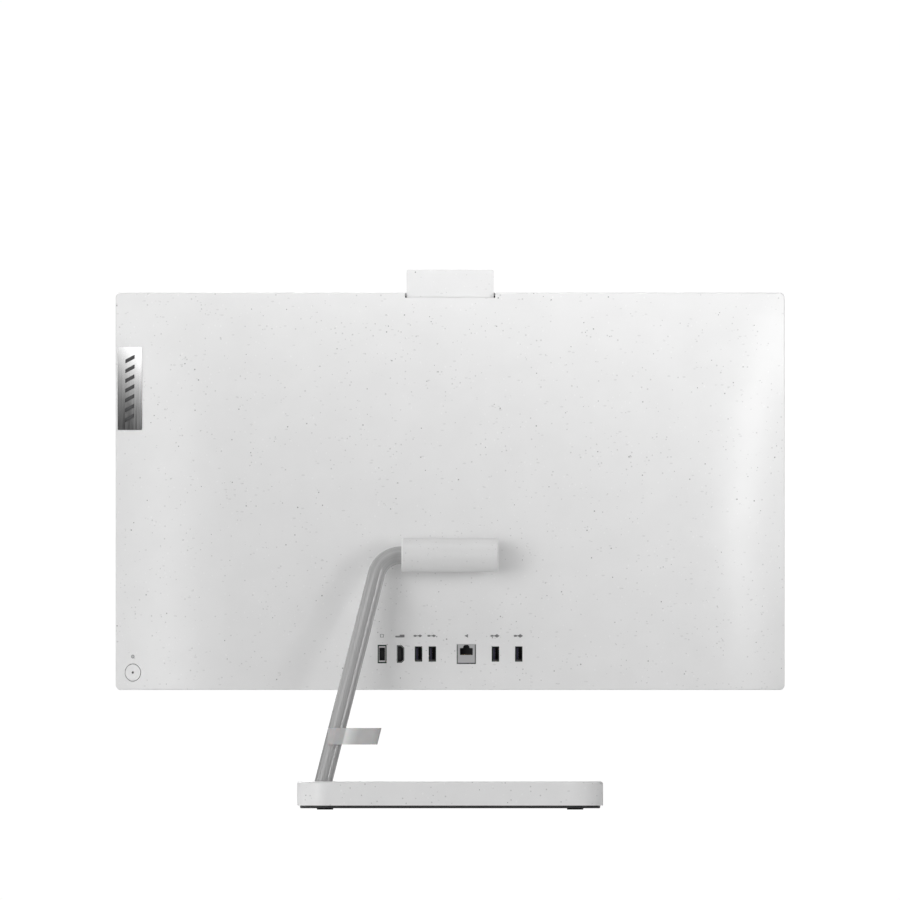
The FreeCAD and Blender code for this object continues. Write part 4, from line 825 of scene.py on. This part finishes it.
def badge_motif():
    """A plain raised pattern of slanted bars on the badge, standing in for its lettering."""
    data = bmesh.new()
    low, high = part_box("badge_plate")
    sunk = on_slope("badge_plate") @ Matrix.Translation((0, 0, -0.35 * MM))
    pitch = (high.z - low.z) * 0.118
    side = 8.6 * MM / 2
    half = 3.4 * MM / 2
    slant = 2.2 * MM
    for number in range(7):
        along = (number - 3) * pitch
        outline = [(-side, along - half - slant), (side, along - half + slant),
                   (side, along + half + slant), (-side, along + half - slant)]
        add_prism(data, outline, sunk, depth=0.6 * MM, bevel=0.12 * MM)
    piece("badge_bars", data, "head", black)


def button_dot():
    """The small dark window in the middle of the power button."""
    data = bmesh.new()
    width = 2.3 * MM
    sunk = on_slope("power_button_cap") @ Matrix.Translation((0, 0, -0.3 * MM))
    add_prism(data, round_outline(width, width, radius=1.14 * MM), sunk, depth=0.34 * MM)
    piece("button_window", data, "power_button", window_black)


stand_tube()
socket_details()
icon_prints()
badge_motif()
button_dot()
indicator_ring()


# ---------------------------------------------------------------- floor, light and camera

# AMBIENT is what lights the object from all round. BACKDROP is what the camera sees behind it.
FLOOR_SIZE = 9
AMBIENT = 0.03
BACKDROP = 1.02
VIEW_WIDTH = 0.8262
VIEW_FROM = (0.0001, 2.2, 0.3301)

# Each light has a place, a width and height, watts, a point that it faces, and a spread in degrees.
Softbox = namedtuple("Softbox", "name place size power target spread", defaults=(180,))
SOFTBOXES = (
    Softbox("key_left", (2.68, 2.86, 1.25), (2.6, 2.4), 42.0, (0, 0, 0.28)),
    Softbox("key_core", (2.46, 3.04, 1.10), (1.2, 1.2), 6.0, (0, 0, 0.28)),
    Softbox("low_left", (0.74, 1.84, 0.40), (1.1, 0.7), 3.8, (0, 0, 0.2)),
    Softbox("near_left", (0.37, 0.92, 0.27), (0.55, 0.35), 0.15, (0, 0, 0.2)),
    Softbox("base_left", (0.75, 0.75, 0.12), (0.2, 0.2), 0.6, (0.1, 0.096, 0.015)),
    Softbox("strip_right", (-0.72, 0.66, 0.40), (0.13, 0.46), 0.60, (-0.28, 0, 0.40), 90),
    Softbox("band_right", (-0.98, 0.48, 0.44), (0.4, 0.6), 0.54, (-0.28, 0, 0.40), 90),
    Softbox("rim_right", (-1.54, 0.05, 0.69), (0.8, 0.9), 0.4, (0, 0, 0.28)),
    Softbox("rim_left", (1.54, 0.05, 0.50), (0.8, 0.9), 2.4, (0, 0, 0.28)),
    Softbox("top_strip", (0, 0.2, 0.72), (0.8, 0.08), 1.0, (0, 0, 0.45)),
    Softbox("fill_front", (0.8, -2.2, 1.6), (1.8, 1.2), 50.0, (0, 0, 0.28)),
)


def studio_floor():
    """A plain pale floor under the feet."""
    bpy.ops.mesh.primitive_plane_add(size=FLOOR_SIZE, location=(0, 0, 0))
    floor = bpy.context.object
    floor.name = "studio_floor"
    pale = moulded("studio_floor", (0.88, 0.88, 0.88), 0.6, grain_scale=20, grain_depth=0.0, mottle=0.01)
    floor.data.materials.append(pale)


def surroundings():
    """A white backdrop for the camera, while the object gets only a faint even light from all round."""
    world = bpy.data.worlds.new("studio")
    bpy.context.scene.world = world
    world.use_nodes = True
    nodes = world.node_tree.nodes
    links = world.node_tree.links
    ambient = nodes["Background"]
    ambient.inputs["Color"].default_value = grey(1.0)
    ambient.inputs["Strength"].default_value = AMBIENT
    backdrop = nodes.new("ShaderNodeBackground")
    backdrop.inputs["Color"].default_value = grey(1.0)
    backdrop.inputs["Strength"].default_value = BACKDROP
    ray = nodes.new("ShaderNodeLightPath")
    mix = nodes.new("ShaderNodeMixShader")
    links.new(ray.outputs["Is Camera Ray"], mix.inputs[0])
    links.new(ambient.outputs[0], mix.inputs[1])
    links.new(backdrop.outputs[0], mix.inputs[2])
    links.new(mix.outputs[0], nodes["World Output"].inputs[0])


def softboxes():
    """Large soft lights, each turned towards its target."""
    for box in SOFTBOXES:
        light = bpy.data.lights.new(box.name, "AREA")
        light.shape = "RECTANGLE"
        light.size, light.size_y = box.size
        light.energy = box.power
        light.spread = math.radians(box.spread)
        item = bpy.data.objects.new(box.name, light)
        item.location = box.place
        aim = Vector(box.target) - item.location
        item.rotation_euler = aim.to_track_quat("-Z", "Y").to_euler()
        bpy.context.scene.collection.objects.link(item)


def camera():
    """Level rear view without perspective, as wide as the head with a margin on each side."""
    data = bpy.data.cameras.new("rear_view")
    data.type = "ORTHO"
    data.ortho_scale = VIEW_WIDTH
    data.clip_end = 20
    item = bpy.data.objects.new("rear_view", data)
    item.location = VIEW_FROM
    item.rotation_euler = (math.pi / 2, 0, math.pi)
    bpy.context.scene.collection.objects.link(item)
    bpy.context.scene.camera = item
    bpy.context.scene.view_settings.view_transform = "Standard"


studio_floor()
surroundings()
softboxes()
camera()
